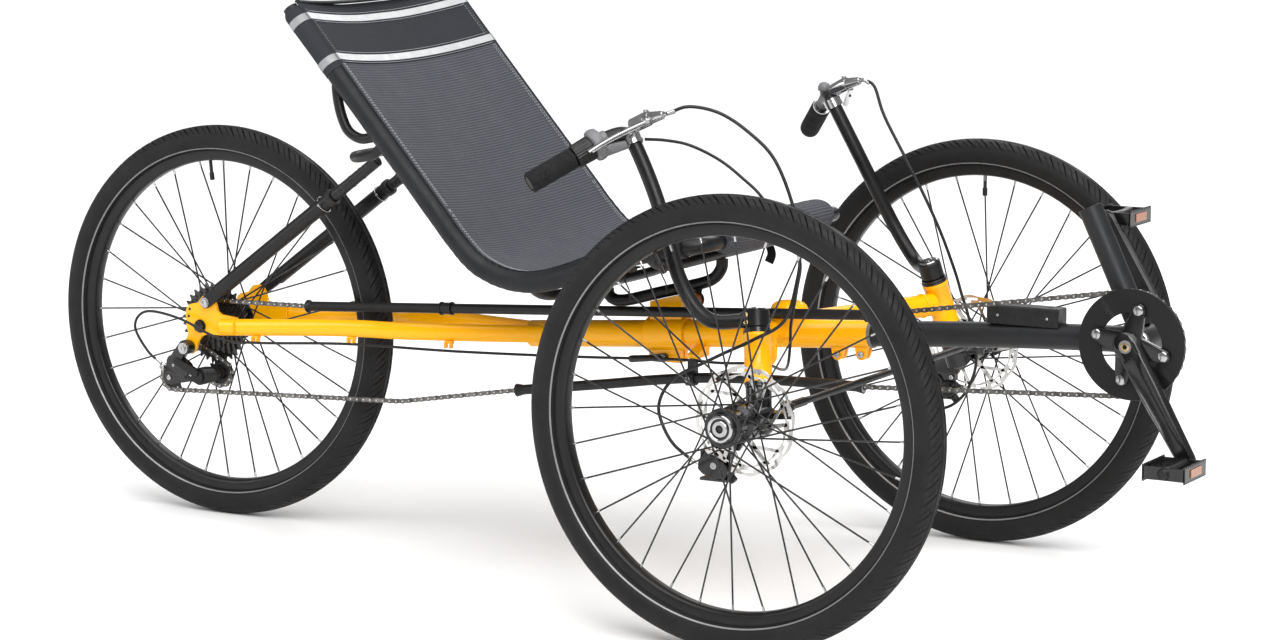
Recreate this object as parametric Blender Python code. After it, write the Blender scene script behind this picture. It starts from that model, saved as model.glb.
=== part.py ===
"""A recumbent tricycle with two steered wheels in front and one driven wheel behind.

Metres, +X forward, +Y to the rider's left, +Z up. The origin lies on the ground under the rear axle.
Every piece is one closed solid. Pieces that touch keep GAP between their faces.
"""

import math

import bmesh
import bpy
from mathutils import Vector

GAP = 0.0003

# Wheels: 26 inch rims with 50 mm tyres
WHEELBASE = 1.194
HALF_TRACK = 0.428
TYRE_RADIUS = 0.329
TYRE_HALF_WIDTH = 0.025
RIM_RADIUS = 0.2868
RIM_HALF_WIDTH = 0.0125
WHEEL_STEPS = 28
SPOKES_PER_SIDE = 16
SPOKE_WIDTH = 0.0019
SPOKE_TIP_RADIUS = 0.2692
AXLE_HEIGHT = TYRE_RADIUS

# Steering: the kingpin axes lean so that they meet the ground at the tyres
KINGPIN_TOP = Vector((1.160, 0.293, 0.468))
KINGPIN_RAKE = 0.19
KINGPIN_LEAN = 0.30
KINGPIN_RADIUS = 0.0125
HEAD_TUBE_RADIUS = 0.020
HEAD_TUBE_BORE = 0.0135
HEAD_TUBE_LOW = 0.372
HEAD_TUBE_HIGH = 0.4395
HEADSET_HEIGHT = 0.007
STEM_CLAMP_RADIUS = 0.0180
STEM_CLAMP_HEIGHT = 0.026
BAR_BEND = Vector((0.944, 0.353, 0.716))
BAR_END = Vector((0.871, 0.441, 0.658))
SHIFTER_START = 0.014  # along the grip, from the bar's bend
SHIFTER_END = 0.057
TIE_ROD_X = 1.230
TIE_ROD_Y = 0.330
TIE_ROD_Z = 0.343

# Frame tubes
MAIN_TUBE_RADIUS = 0.0215
MAIN_TUBE_REAR = Vector((0.600, 0.0, 0.354))
MAIN_TUBE_FRONT = Vector((1.203, 0.0, 0.4008))
BOOM_RADIUS = 0.0195
CROSS_ARM_RADIUS = 0.018
DROPOUT_INNER = 0.068
DROPOUT_OUTER = 0.074

# Drive
CRANK_AXIS = Vector((1.643, 0.0, 0.427))
CRANK_LENGTH = 0.188
CRANK_ANGLE = math.radians(-58.7)
CHAIN_Y = -0.047
HANGER_X = 0.917
ARM_STEP = {-1: 0.003, 1: 0.012}  # how far each crank arm leans out, from its root to the pedal
CHAIN_HALF_WIDTH = 0.0032
CHAIN_HALF_HEIGHT = 0.004
CHAINRING_PITCH_RADIUS = 0.0768
SPROCKET_PITCH_RADIUS = 0.0404
JOCKEY_PITCH_RADIUS = 0.0222
GUIDE_JOCKEY = Vector((0.0195, CHAIN_Y, 0.2480))
TENSION_JOCKEY = Vector((-0.0790, CHAIN_Y, 0.2330))
CHAIN_TUBE_RADIUS = 0.008
CHAIN_TUBE_BORE = 0.0065
UPPER_TUBE_REAR = Vector((0.198, CHAIN_Y, 0.3735))
UPPER_TUBE_FRONT = Vector((1.220, CHAIN_Y, 0.4370))

# Seat
SEAT_HALF_WIDTH = 0.228
SEAT_TUBE_RADIUS = 0.0120
SLING_HALF_THICKNESS = 0.003
STRUT_FOOT = Vector((0.0158, 0.0825, 0.3705))
STRUT_HEAD = Vector((0.3640, 0.0825, 0.6270))
STRUT_OUTER_LENGTH = 0.326

MATERIALS = {
    "yellow_paint": ((0.80, 0.36, 0.01), 0.25, 0.0),
    "black_paint": ((0.02, 0.02, 0.022), 0.35, 0.0),
    "tyre": ((0.03, 0.03, 0.03), 0.8, 0.0),
    "rubber": ((0.02, 0.02, 0.02), 0.7, 0.0),
    "plastic": ((0.03, 0.03, 0.032), 0.5, 0.0),
    "steel": ((0.55, 0.55, 0.56), 0.3, 1.0),
    "aluminium": ((0.75, 0.75, 0.76), 0.3, 1.0),
    "chain_steel": ((0.35, 0.34, 0.32), 0.35, 1.0),
    "mesh_fabric": ((0.16, 0.18, 0.21), 0.85, 0.0),
    "vinyl": ((0.05, 0.055, 0.06), 0.7, 0.0),
}


def clear_scene():
    for old in list(bpy.data.objects):
        bpy.data.objects.remove(old, do_unlink=True)


def material(name):
    found = bpy.data.materials.get(name)
    if found:
        return found
    colour, roughness, metallic = MATERIALS[name]
    made = bpy.data.materials.new(name)
    made.use_nodes = True
    shader = made.node_tree.nodes["Principled BSDF"]
    shader.inputs["Base Color"].default_value = (*colour, 1.0)
    shader.inputs["Roughness"].default_value = roughness
    shader.inputs["Metallic"].default_value = metallic
    return made


def solid(name, points, faces, finish="plastic", pivot=(0, 0, 0)):
    """An object from points and faces, its normals facing out and its origin at the pivot."""
    shape = bmesh.new()
    corners = [shape.verts.new(Vector(p) - Vector(pivot)) for p in points]
    for face in faces:
        shape.faces.new([corners[i] for i in face])
    bmesh.ops.recalc_face_normals(shape, faces=shape.faces)
    mesh = bpy.data.meshes.new(name)
    shape.to_mesh(mesh)
    shape.free()
    mesh.shade_smooth()
    mesh.set_sharp_from_angle(angle=math.radians(35))
    mesh.materials.append(material(finish))
    made = bpy.data.objects.new(name, mesh)
    made.location = pivot
    bpy.context.scene.collection.objects.link(made)
    return made


def combine(target, added=(), cut=()):
    """Adds shapes to the target, then cuts others away, with live Boolean modifiers."""
    for operation, shapes in (("UNION", added), ("DIFFERENCE", cut)):
        if not shapes:
            continue
        group = bpy.data.collections.new(f"{target.name}_{operation.lower()}")
        bpy.context.scene.collection.children.link(group)
        for shape in shapes:
            bpy.context.scene.collection.objects.unlink(shape)
            group.objects.link(shape)
            shape.hide_render = True
            shape.display_type = "WIRE"
        modifier = target.modifiers.new(operation.lower(), "BOOLEAN")
        modifier.operation = operation
        modifier.operand_type = "COLLECTION"
        modifier.solver = "EXACT"
        modifier.collection = group
    return target


def basis_around(axis):
    """Two unit vectors at right angles to the axis: X and Z for an axis along Y."""
    axis = Vector(axis).normalized()
    guide = Vector((1, 0, 0)) if abs(axis.x) < 0.9 else Vector((0, 1, 0))
    first = (guide - axis * guide.dot(axis)).normalized()
    return axis, first, first.cross(axis)


def lathe(name, profile, centre, axis, steps, finish="plastic", pivot=None):
    """A closed profile of (distance along the axis, radius), turned round the axis."""
    axis, first, second = basis_around(axis)
    points = []
    rings = []
    for along, radius in profile:
        base = Vector(centre) + axis * along
        if radius == 0:
            rings.append([len(points)] * steps)
            points.append(base)
            continue
        rings.append(list(range(len(points), len(points) + steps)))
        for i in range(steps):
            angle = (i + 0.5) * math.tau / steps
            points.append(base + radius * (first * math.cos(angle) + second * math.sin(angle)))
    faces = []
    for ring, following in zip(rings, rings[1:] + rings[:1]):
        for i in range(steps):
            j = (i + 1) % steps
            face = list(dict.fromkeys((ring[i], ring[j], following[j], following[i])))
            if len(face) > 2:
                faces.append(face)
    return solid(name, points, faces, finish, pivot or centre)


def cylinder(name, start, end, radius, steps=16, finish="plastic", pivot=None):
    length = (Vector(end) - Vector(start)).length
    profile = [(0, 0), (0, radius), (length, radius), (length, 0)]
    return lathe(name, profile, start, Vector(end) - Vector(start), steps, finish, pivot)


def ring(name, start, end, radius, bore, steps=20, finish="plastic", pivot=None):
    length = (Vector(end) - Vector(start)).length
    profile = [(0, bore), (0, radius), (length, radius), (length, bore)]
    return lathe(name, profile, start, Vector(end) - Vector(start), steps, finish, pivot)


def convex(name, points, finish="plastic", pivot=(0, 0, 0)):
    """The convex solid around a cloud of points."""
    shape = bmesh.new()
    for p in points:
        shape.verts.new(Vector(p) - Vector(pivot))
    hull = bmesh.ops.convex_hull(shape, input=shape.verts)
    spare = {v for v in hull["geom_interior"] + hull["geom_unused"] if isinstance(v, bmesh.types.BMVert)}
    bmesh.ops.delete(shape, geom=list(spare), context="VERTS")
    bmesh.ops.recalc_face_normals(shape, faces=shape.faces)
    mesh = bpy.data.meshes.new(name)
    shape.to_mesh(mesh)
    shape.free()
    mesh.materials.append(material(finish))
    made = bpy.data.objects.new(name, mesh)
    made.location = pivot
    bpy.context.scene.collection.objects.link(made)
    return made


def disc(centre, radius, thickness, axis=(0, 1, 0), steps=16):
    """The corner points of a flat round disc, from its centre out along its axis."""
    axis, first, second = basis_around(axis)
    found = []
    for along in (0, thickness):
        for i in range(steps):
            angle = i * math.tau / steps
            spoke = first * math.cos(angle) + second * math.sin(angle)
            found.append(Vector(centre) + axis * along + radius * spoke)
    return found


def block(low, high):
    return [(x, y, z) for x in (low[0], high[0]) for y in (low[1], high[1]) for z in (low[2], high[2])]


def plate(name, outline, low, high, finish="plastic", pivot=(0, 0, 0)):
    """An outline of (x, z) points, given thickness along Y."""
    count = len(outline)
    points = [(x, low, z) for x, z in outline] + [(x, high, z) for x, z in outline]
    sides = [(i, (i + 1) % count, (i + 1) % count + count, i + count) for i in range(count)]
    faces = [list(range(count)), list(range(count, 2 * count))] + sides
    return solid(name, points, faces, finish, pivot)


def smooth_path(route, spacing):
    """Points at about the given spacing on a smooth curve through the route."""
    route = [Vector(p) for p in route]
    padded = [2 * route[0] - route[1], *route, 2 * route[-1] - route[-2]]
    found = [route[0]]
    for before, start, end, after in zip(padded, padded[1:], padded[2:], padded[3:]):
        count = max(1, round((end - start).length / spacing))
        for i in range(1, count + 1):
            t = i / count
            found.append(
                0.5
                * (
                    2 * start
                    + (end - before) * t
                    + (2 * before - 5 * start + 4 * end - after) * t**2
                    + (3 * start - before - 3 * end + after) * t**3
                )
            )
    return found


def sweep(name, path, section, finish="plastic", pivot=(0, 0, 0), closed=False, bore=None):
    """A section of (sideways, up) points carried along a path, with a matching bore if one is given."""
    path = [Vector(p) for p in path]
    count = len(path)
    outlines = [section] + ([bore] if bore else [])
    points = []
    grids = [[] for _ in outlines]
    side = None
    for i, here in enumerate(path):
        before = path[i - 1] if closed or i > 0 else here
        after = path[(i + 1) % count] if closed or i < count - 1 else here
        ahead = (after - before).normalized()
        if side is None:
            guide = Vector((0, 0, 1)) if abs(ahead.z) < 0.9 else Vector((1, 0, 0))
            side = guide.cross(ahead)
        side = (side - ahead * side.dot(ahead)).normalized()
        up = ahead.cross(side)
        for grid, outline in zip(grids, outlines):
            grid.append(list(range(len(points), len(points) + len(outline))))
            points += [here + side * a + up * b for a, b in outline]
    faces = []
    for grid in grids:
        for row, following in zip(grid, grid[1:] + grid[:1] if closed else grid[1:]):
            size = len(row)
            faces += [(row[k], row[(k + 1) % size], following[(k + 1) % size],
                       following[k]) for k in range(size)]
    if not closed and not bore:
        faces += [grids[0][0], grids[0][-1]]
    if bore:
        for end in (0, -1):
            outer, inner = grids[0][end], grids[1][end]
            size = len(outer)
            faces += [(outer[k], outer[(k + 1) % size], inner[(k + 1) % size],
                       inner[k]) for k in range(size)]
    return solid(name, points, faces, finish, pivot)


def oval(half_width, half_height=None, sides=10):
    half_height = half_height or half_width
    angles = [(k + 0.5) * math.tau / sides for k in range(sides)]
    return [(half_width * math.cos(a), half_height * math.sin(a)) for a in angles]


def tube(name, route, radius, spacing=0.03, sides=10, finish="black_paint", pivot=(0, 0, 0), bore=None):
    inner = oval(bore, sides=sides) if bore else None
    return sweep(name, smooth_path(route, spacing), oval(radius, sides=sides), finish, pivot, bore=inner)


def cable(name, route, diameter, spacing):
    """A cable held along its whole route: a bevelled curve with filled ends."""
    curve = bpy.data.curves.new(name, "CURVE")
    curve.dimensions = "3D"
    curve.bevel_depth = diameter / 2
    curve.bevel_resolution = 2
    curve.use_fill_caps = True
    path = smooth_path(route, spacing)
    spline = curve.splines.new("POLY")
    spline.points.add(len(path) - 1)
    for point, place in zip(spline.points, path):
        point.co = (*place, 1.0)
    curve.materials.append(material("rubber"))
    made = bpy.data.objects.new(name, curve)
    bpy.context.scene.collection.objects.link(made)
    return made


def move_origin(obj, pivot):
    """Puts an object's origin on its joint's axis, its shape staying where it is."""
    shift = obj.location - Vector(pivot)
    if obj.type == "CURVE":
        for point in obj.data.splines[0].points:
            point.co = (*(point.co.xyz + shift), 1.0)
    else:
        for vertex in obj.data.vertices:
            vertex.co += shift
    obj.location = pivot
    return obj


def mirrored(point, side):
    """A point given for the left half, moved to the side that is wanted: 1 is left, -1 is right."""
    return Vector((point[0], point[1] * side, point[2]))


def on_kingpin(height, side):
    """The point of the kingpin's axis at a height above the ground."""
    drop = KINGPIN_TOP.z - height
    return mirrored(KINGPIN_TOP + Vector((KINGPIN_RAKE, KINGPIN_LEAN, -1)) * drop, side)


def tyre(name, centre):
    tread = TYRE_RADIUS / math.cos(math.pi / WHEEL_STEPS)
    bead = RIM_RADIUS + GAP
    outer = [(0.0125, bead), (0.0225, 0.2935), (TYRE_HALF_WIDTH, 0.306), (0.0195, 0.3220), (0.009, tread)]
    inner = [(0.0165, 0.3190), (0.0212, 0.3000), (0.0085, bead)]
    profile = outer + [(-w, r) for w, r in reversed(outer)]
    profile += [(-w, r) for w, r in reversed(inner)] + inner
    return lathe(name, profile, centre, (0, 1, 0), WHEEL_STEPS, "tyre")


def rim(name, centre):
    wall = 0.0017
    half = [(0.0085, 0.2715), (RIM_HALF_WIDTH, RIM_RADIUS), (RIM_HALF_WIDTH - wall, RIM_RADIUS),
            (0.0070, 0.2765)]
    profile = half + [(-w, r) for w, r in reversed(half)]
    return lathe(name, profile, centre, (0, 1, 0), WHEEL_STEPS, "black_paint")


def spokes(name, centre, flange_offset, flange_radius, share):
    """The spokes of one flange, crossed three times: every second one leans the other way."""
    found = []
    lean = math.radians(67.5)
    for i in range(SPOKES_PER_SIDE):
        forward = 1 if i % 2 else -1
        hub_angle = (i + share) * math.tau / SPOKES_PER_SIDE
        rim_angle = hub_angle + forward * lean
        face = math.copysign(0.0018, flange_offset) * forward
        foot = Vector((math.cos(hub_angle), 0, math.sin(hub_angle))) * flange_radius
        tip = Vector((math.cos(rim_angle), 0, math.sin(rim_angle))) * SPOKE_TIP_RADIUS
        foot.y = flange_offset + face
        tip.y = math.copysign(0.002, flange_offset)
        spoke = [centre + foot, centre + tip]
        found.append(sweep(f"{name}_{i}", spoke, oval(SPOKE_WIDTH / 2, sides=3)))
    return found


def hub(name, centre, profile, flanges, flange_radius, outward, finish):
    shell = lathe(name, profile, centre, (0, outward, 0), 16, finish)
    laced = []
    for number, offset in enumerate(flanges):
        share = 0.5 if number else 0.0
        laced += spokes(f"{name}_spoke_{number}", centre, offset * outward, flange_radius - 0.004, share)
    return combine(shell, laced)


def front_wheel(prefix, side):
    centre = Vector((WHEELBASE, HALF_TRACK * side, AXLE_HEIGHT))
    tyre(f"{prefix}_front_tyre", centre)
    rim(f"{prefix}_front_rim", centre)
    flange = 0.029
    profile = [(-0.0345, 0.0068), (-0.0345, 0.017), (-0.031, 0.017), (-0.031, flange), (-0.0275, flange)]
    profile += [(-0.0275, 0.016), (0.0275, 0.016), (0.0275, flange), (0.031, flange), (0.031, 0.017)]
    profile += [(0.038, 0.014), (0.038, 0.0068)]
    hub(f"{prefix}_front_hub_and_spokes", centre, profile, (-0.02925, 0.02925), flange, side, "black_paint")
    rotor_face = centre + Vector((0, -side * (0.0345 + GAP), 0))
    rotor_back = rotor_face - Vector((0, side * 0.002, 0))
    ring(f"{prefix}_brake_rotor", rotor_face, rotor_back, 0.080, 0.016, 28, "steel", centre)


def rear_wheel():
    centre = Vector((0, 0, AXLE_HEIGHT))
    tyre("rear_tyre", centre)
    rim("rear_rim", centre)
    flange = 0.030
    profile = [(-0.0262, 0.0062), (-0.0262, 0.020), (-0.0225, flange), (-0.019, flange), (-0.019, 0.017)]
    profile += [(0.0315, 0.017), (0.0315, flange), (0.035, flange), (0.035, 0.019), (0.050, 0.012),
                (0.050, 0.0062)]
    hub("rear_hub_and_spokes", centre, profile, (-0.02075, 0.03325), flange, 1, "black_paint")
    reach = 0.0835
    nut = DROPOUT_OUTER + GAP
    inside = DROPOUT_INNER - GAP
    half = [(reach, 0), (reach, 0.0085), (nut, 0.0085), (nut, 0.005), (inside, 0.005), (inside, 0.009)]
    shaft = [(0.0625, 0.009), (0.0625, 0.005)]
    profile = [(-y, r) for y, r in half + shaft] + [(y, r) for y, r in reversed(half + shaft)]
    lathe("rear_axle", profile, centre, (0, 1, 0), 12, "steel")
    steps = [(0.0285, 0.0640), (0.0320, 0.0640), (0.0430, 0.0480), (0.0430, 0.0358), (0.0508, 0.0358)]
    steps += [(0.0555, 0.0300), (0.0600, 0.0240)]
    carrier = [(0.0265, 0.0062), (0.0265, 0.0145), (0.0285, 0.0145)]
    profile = carrier + steps + [(0.0600, 0.0145), (0.0615, 0.0145), (0.0615, 0.0062)]
    lathe("cassette", profile, centre, (0, -1, 0), 24, "steel")


def dropout(name, side, hanger):
    outline = [(-0.030, 0.352), (-0.020, 0.365), (-0.005, 0.366), (0.004, 0.380), (0.026, 0.380),
               (0.034, 0.352)]
    outline += [(0.075, 0.350), (0.075, 0.318), (0.012, 0.316)]
    if hanger:
        outline += [(-0.003, 0.305), (-0.011, 0.284), (-0.032, 0.281), (-0.034, 0.300), (-0.022, 0.312)]
    outline += [(-0.030, 0.325)]
    edges = sorted((DROPOUT_INNER * side, DROPOUT_OUTER * side))
    return plate(name, outline, *edges)


def main_frame():
    axis = (MAIN_TUBE_FRONT - MAIN_TUBE_REAR).normalized()
    frame = cylinder("main_frame", MAIN_TUBE_REAR, MAIN_TUBE_FRONT, MAIN_TUBE_RADIUS, 18, "yellow_paint",
                     (0, 0, 0))
    added = []
    arms = [(1.168, 0.287, 0.4050), (1.128, 0.205, 0.4020), (1.085, 0.125, 0.3995), (1.057, 0.055, 0.3985)]
    route = arms + [(1.050, 0, 0.3985)] + [(x, -y, z) for x, y, z in reversed(arms)]
    added.append(tube("cross_arms", route, CROSS_ARM_RADIUS, 0.09, 12))
    crown = [(0, 0), (0, 0.0300), (0.0400, 0.0300), (0.0480, 0.0260), (0.0525, 0.0160), (0.0530, 0)]
    added.append(lathe("arm_crown", crown, (1.062, 0, 0.3890), (0, 0, 1), 16))
    for side in (1, -1):
        added.append(cylinder(f"head_{side}", on_kingpin(HEAD_TUBE_LOW, side),
                              on_kingpin(HEAD_TUBE_HIGH, side), HEAD_TUBE_RADIUS, 16))
        stay = [(0.045, 0.0765, 0.3305), (0.28, 0.0765, 0.348), (0.40, 0.071, 0.3515), (0.52, 0.043, 0.354)]
        stay += [(0.64, 0.012, 0.357)]
        path = smooth_path([mirrored(p, side) for p in stay], 0.09)
        added.append(sweep(f"stay_{side}", path, oval(0.0085, 0.014)))
        added.append(dropout(f"dropout_{side}", side, side < 0))
    tab_low, tab_high = HANGER_X - 0.009, HANGER_X + 0.009
    hanger_tab = block((tab_low, CHAIN_Y + 0.002, 0.3455), (tab_high, -0.005, 0.3515))
    hanger_tab += block((tab_low, -0.012, 0.352), (tab_high, -0.005, 0.364))
    added.append(convex("hanger_tab", hanger_tab))
    for x in (1.149, 1.189):
        lug_top = MAIN_TUBE_REAR.z + (x - MAIN_TUBE_REAR.x) * axis.z / axis.x
        lug = [Vector((x, -0.009, lug_top - 0.031)), Vector((x, -0.009, lug_top - 0.020))]
        added.append(convex(f"clamp_lug_{x}", disc(lug[0], 0.0085, 0.018) + disc(lug[1], 0.011, 0.018)))
    cut = [cylinder("boom_bore", MAIN_TUBE_FRONT - axis * 0.185, MAIN_TUBE_FRONT + axis * 0.02,
                    BOOM_RADIUS + 0.0007, 18)]
    for side in (1, -1):
        low, high = on_kingpin(HEAD_TUBE_LOW - 0.03, side), on_kingpin(HEAD_TUBE_HIGH + 0.03, side)
        cut.append(cylinder(f"head_bore_{side}", low, high, HEAD_TUBE_BORE, 16))
    cut.append(cylinder("axle_hole", (0, -0.09, AXLE_HEIGHT), (0, 0.09, AXLE_HEIGHT), 0.0057, 12))
    return combine(frame, added, cut)


def boom():
    axis = (MAIN_TUBE_FRONT - MAIN_TUBE_REAR).normalized()
    route = [MAIN_TUBE_FRONT - axis * 0.17, MAIN_TUBE_FRONT + axis * 0.04]
    route += [(1.40, 0, 0.4150), (1.50, 0, 0.4205), CRANK_AXIS + Vector((-0.012, 0, -0.001))]
    made = tube("boom", route, BOOM_RADIUS, 0.055, 16)
    shell = cylinder("bracket_shell", CRANK_AXIS + Vector((0, 0.034, 0)),
                     CRANK_AXIS - Vector((0, 0.034, 0)), 0.0205, 20)
    bore = cylinder("bracket_bore", CRANK_AXIS + Vector((0, 0.05, 0)), CRANK_AXIS - Vector((0, 0.05, 0)),
                    0.0165, 20)
    foot, top = Vector((1.6290, 0, 0.4560)), Vector((1.5530, 0, 0.6150))
    direction = (top - foot).normalized()
    upright = cylinder("derailleur_post", foot - direction * 0.012, top, 0.0180, 16)
    combine(made, [shell, upright], [bore])
    low, high = (1.398, -0.016, 0.4415), (1.513, 0.016, 0.4630)
    mount = convex("accessory_mount", block(low, high), "plastic")
    channel = convex("mount_channel", block((1.410, -0.0085, 0.4560), (1.501, 0.0085, 0.4700)))
    combine(mount, cut=[channel])


def drive():
    cartridge = 0.036
    ring("bottom_bracket", CRANK_AXIS - Vector((0, cartridge, 0)), CRANK_AXIS + Vector((0, cartridge, 0)),
         0.0158, 0.0094, 14, "steel")
    cylinder("crank_axle", CRANK_AXIS - Vector((0, 0.058, 0)), CRANK_AXIS + Vector((0, 0.058, 0)), 0.0085,
             12, "steel")
    toward = Vector((math.cos(CRANK_ANGLE), 0, math.sin(CRANK_ANGLE)))
    for prefix, side in (("right", -1), ("left", 1)):
        tip = CRANK_AXIS - toward * CRANK_LENGTH * side
        inner, outer = 0.060 + GAP, 0.078
        step = ARM_STEP[side]
        root = CRANK_AXIS + Vector((0, inner * side, 0))
        arm = cylinder(f"{prefix}_crank", root, CRANK_AXIS + Vector((0, outer * side, 0)), 0.0185, 20,
                       "black_paint", CRANK_AXIS)
        middle = CRANK_AXIS.lerp(tip, 0.40)
        first = disc(CRANK_AXIS + Vector((0, 0.062 * side, 0)), 0.0160, 0.015 * side)
        first += disc(middle + Vector((0, (0.0625 + 0.4 * step) * side, 0)), 0.0175, 0.016 * side)
        second = disc(middle + Vector((0, (0.0625 + 0.4 * step) * side, 0)), 0.0175, 0.016 * side)
        second += disc(tip + Vector((0, (0.0650 + step) * side, 0)), 0.0135, 0.0135 * side)
        added = [convex(f"{prefix}_beam_root", first), convex(f"{prefix}_beam_end", second)]
        if side < 0:
            plane = CRANK_AXIS + Vector((0, -0.0605, 0))
            for turn in range(4):
                angle = CRANK_ANGLE + math.radians(45 + 90 * turn)
                end = plane + Vector((math.cos(angle), 0, math.sin(angle))) * 0.052
                spider = disc(plane, 0.017, -0.006) + disc(end, 0.0095, 0.0052)
                added.append(convex(f"spider_{turn}", spider))
        spindle = [(0.0700, 0), (0.0700, 0.0075), (0.0815, 0.0075), (0.0815, 0.0045), (0.1600, 0.0045),
                   (0.1600, 0)]
        base = Vector((tip.x, 0, tip.z))
        added.append(lathe(f"{prefix}_spindle", [(along + step, r) for along, r in spindle], base,
                           (0, side, 0), 12))
        combine(arm, added)
        pedal(f"{prefix}_pedal", base, side, step)
    guard = [(0.0450, 0.0450), (0.0450, 0.0720), (0.0525, 0.0720), (0.0525, 0.0815), (0.0550, 0.0815),
             (0.0550, 0.0450)]
    lathe("chainring", guard, CRANK_AXIS, (0, -1, 0), 32, "black_paint")


def pedal(name, base, side, step):
    """A cage pedal: a frame with two windows and a barrel round the spindle."""
    half_length, half_height = 0.033, 0.011
    near, far = 0.0840 + step, 0.1650 + step
    box_low = base + Vector((-half_length, near * side, -half_height))
    box_high = base + Vector((half_length, far * side, half_height))
    cage = convex(name, block(box_low, box_high), "plastic", base)
    cut = []
    for way in (1, -1):
        low = base + Vector((0.0105 * way, (near + 0.008) * side, -0.02))
        high = base + Vector((0.0245 * way, (far - 0.008) * side, 0.02))
        cut.append(convex(f"{name}_window_{way}", block(low, high)))
    start, end = base + Vector((0, (near - 0.002) * side, 0)), base + Vector((0, (far + 0.004) * side, 0))
    cut.append(cylinder(f"{name}_bore", start, end, 0.0055, 12))
    return combine(cage, cut=cut)


def tangent_points(start, end):
    """Where a belt leaves one wheel and meets the next: each is (centre, radius, 1 if it turns left)."""
    (first, first_radius, first_turn), (second, second_radius, second_turn) = start, end
    gap = Vector((second.x - first.x, second.z - first.z))
    offset = (second_turn * second_radius - first_turn * first_radius) / gap.length
    heading = math.atan2(gap.y, gap.x) - math.asin(offset)
    normal = Vector((-math.sin(heading), 0, math.cos(heading)))
    return first - normal * first_turn * first_radius, second - normal * second_turn * second_radius


def chain_path():
    """The chain's centre line: over the crank, back along the top tube, and home below."""
    ring_centre = Vector((CRANK_AXIS.x, CHAIN_Y, CRANK_AXIS.z))
    sprocket = Vector((0, CHAIN_Y, AXLE_HEIGHT))
    wheels = [
        (ring_centre, CHAINRING_PITCH_RADIUS, 1),
        (UPPER_TUBE_FRONT, 0, 1),
        (UPPER_TUBE_REAR, 0, 1),
        (sprocket, SPROCKET_PITCH_RADIUS, 1),
        (GUIDE_JOCKEY, JOCKEY_PITCH_RADIUS, -1),
        (TENSION_JOCKEY, JOCKEY_PITCH_RADIUS, 1),
        (Vector((0.379, CHAIN_Y, 0.231)), 0, 1),
    ]
    wheels += [(Vector(p), 0, 1) for p in lower_tube_route()]
    found = []
    count = len(wheels)
    for i, wheel in enumerate(wheels):
        centre, radius, turn = wheel
        arrive = tangent_points(wheels[i - 1], wheel)[1]
        leave = tangent_points(wheel, wheels[(i + 1) % count])[0]
        if radius == 0:
            found.append(centre)
            continue
        first = math.atan2(arrive.z - centre.z, arrive.x - centre.x)
        last = math.atan2(leave.z - centre.z, leave.x - centre.x)
        sweep_angle = (last - first) * turn % math.tau * turn
        pieces = max(3, math.ceil(abs(sweep_angle) / math.radians(18)))
        for k in range(pieces + 1):
            angle = first + sweep_angle * k / pieces
            found.append(centre + Vector((math.cos(angle), 0, math.sin(angle))) * radius)
    return found


def lower_tube_route():
    shape = [(0.601, 0.269), (0.761, 0.2925), (0.860, 0.3080), (0.950, 0.3185), (1.060, 0.3245),
             (1.213, 0.3270)]
    return [(x, CHAIN_Y, z) for x, z in shape]


def chain_and_tubes():
    half_width, half_height = CHAIN_HALF_WIDTH, CHAIN_HALF_HEIGHT
    section = [(-half_width, -half_height), (half_width, -half_height), (half_width, half_height),
               (-half_width, half_height)]
    sweep("chain", chain_path(), section, "chain_steel", closed=True)
    tube("upper_chain_tube", [UPPER_TUBE_REAR, UPPER_TUBE_FRONT], CHAIN_TUBE_RADIUS, 0.6, 12, "plastic",
         bore=CHAIN_TUBE_BORE)
    lower = [Vector(p) for p in lower_tube_route()]
    inner = oval(CHAIN_TUBE_BORE)
    lower_tube = sweep("lower_chain_tube", lower, oval(CHAIN_TUBE_RADIUS), "plastic", bore=inner)
    middle = Vector((HANGER_X, CHAIN_Y, 0.3150))
    along = Vector((0.99, 0, 0.12)).normalized()
    clamp = cylinder("tube_clamp", middle - along * 0.008, middle + along * 0.008, 0.0115, 14)
    ear_low, ear_high = (HANGER_X - 0.006, CHAIN_Y - 0.003, 0.3200), (HANGER_X + 0.006, CHAIN_Y + 0.012,
                                                                      0.3455 - GAP)
    ear = convex("hanger_ear", block(ear_low, ear_high))
    hanger_bore = cylinder("hanger_bore", middle - along * 0.04, middle + along * 0.04, CHAIN_TUBE_BORE, 14)
    combine(lower_tube, [clamp, ear], [hanger_bore])


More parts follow.
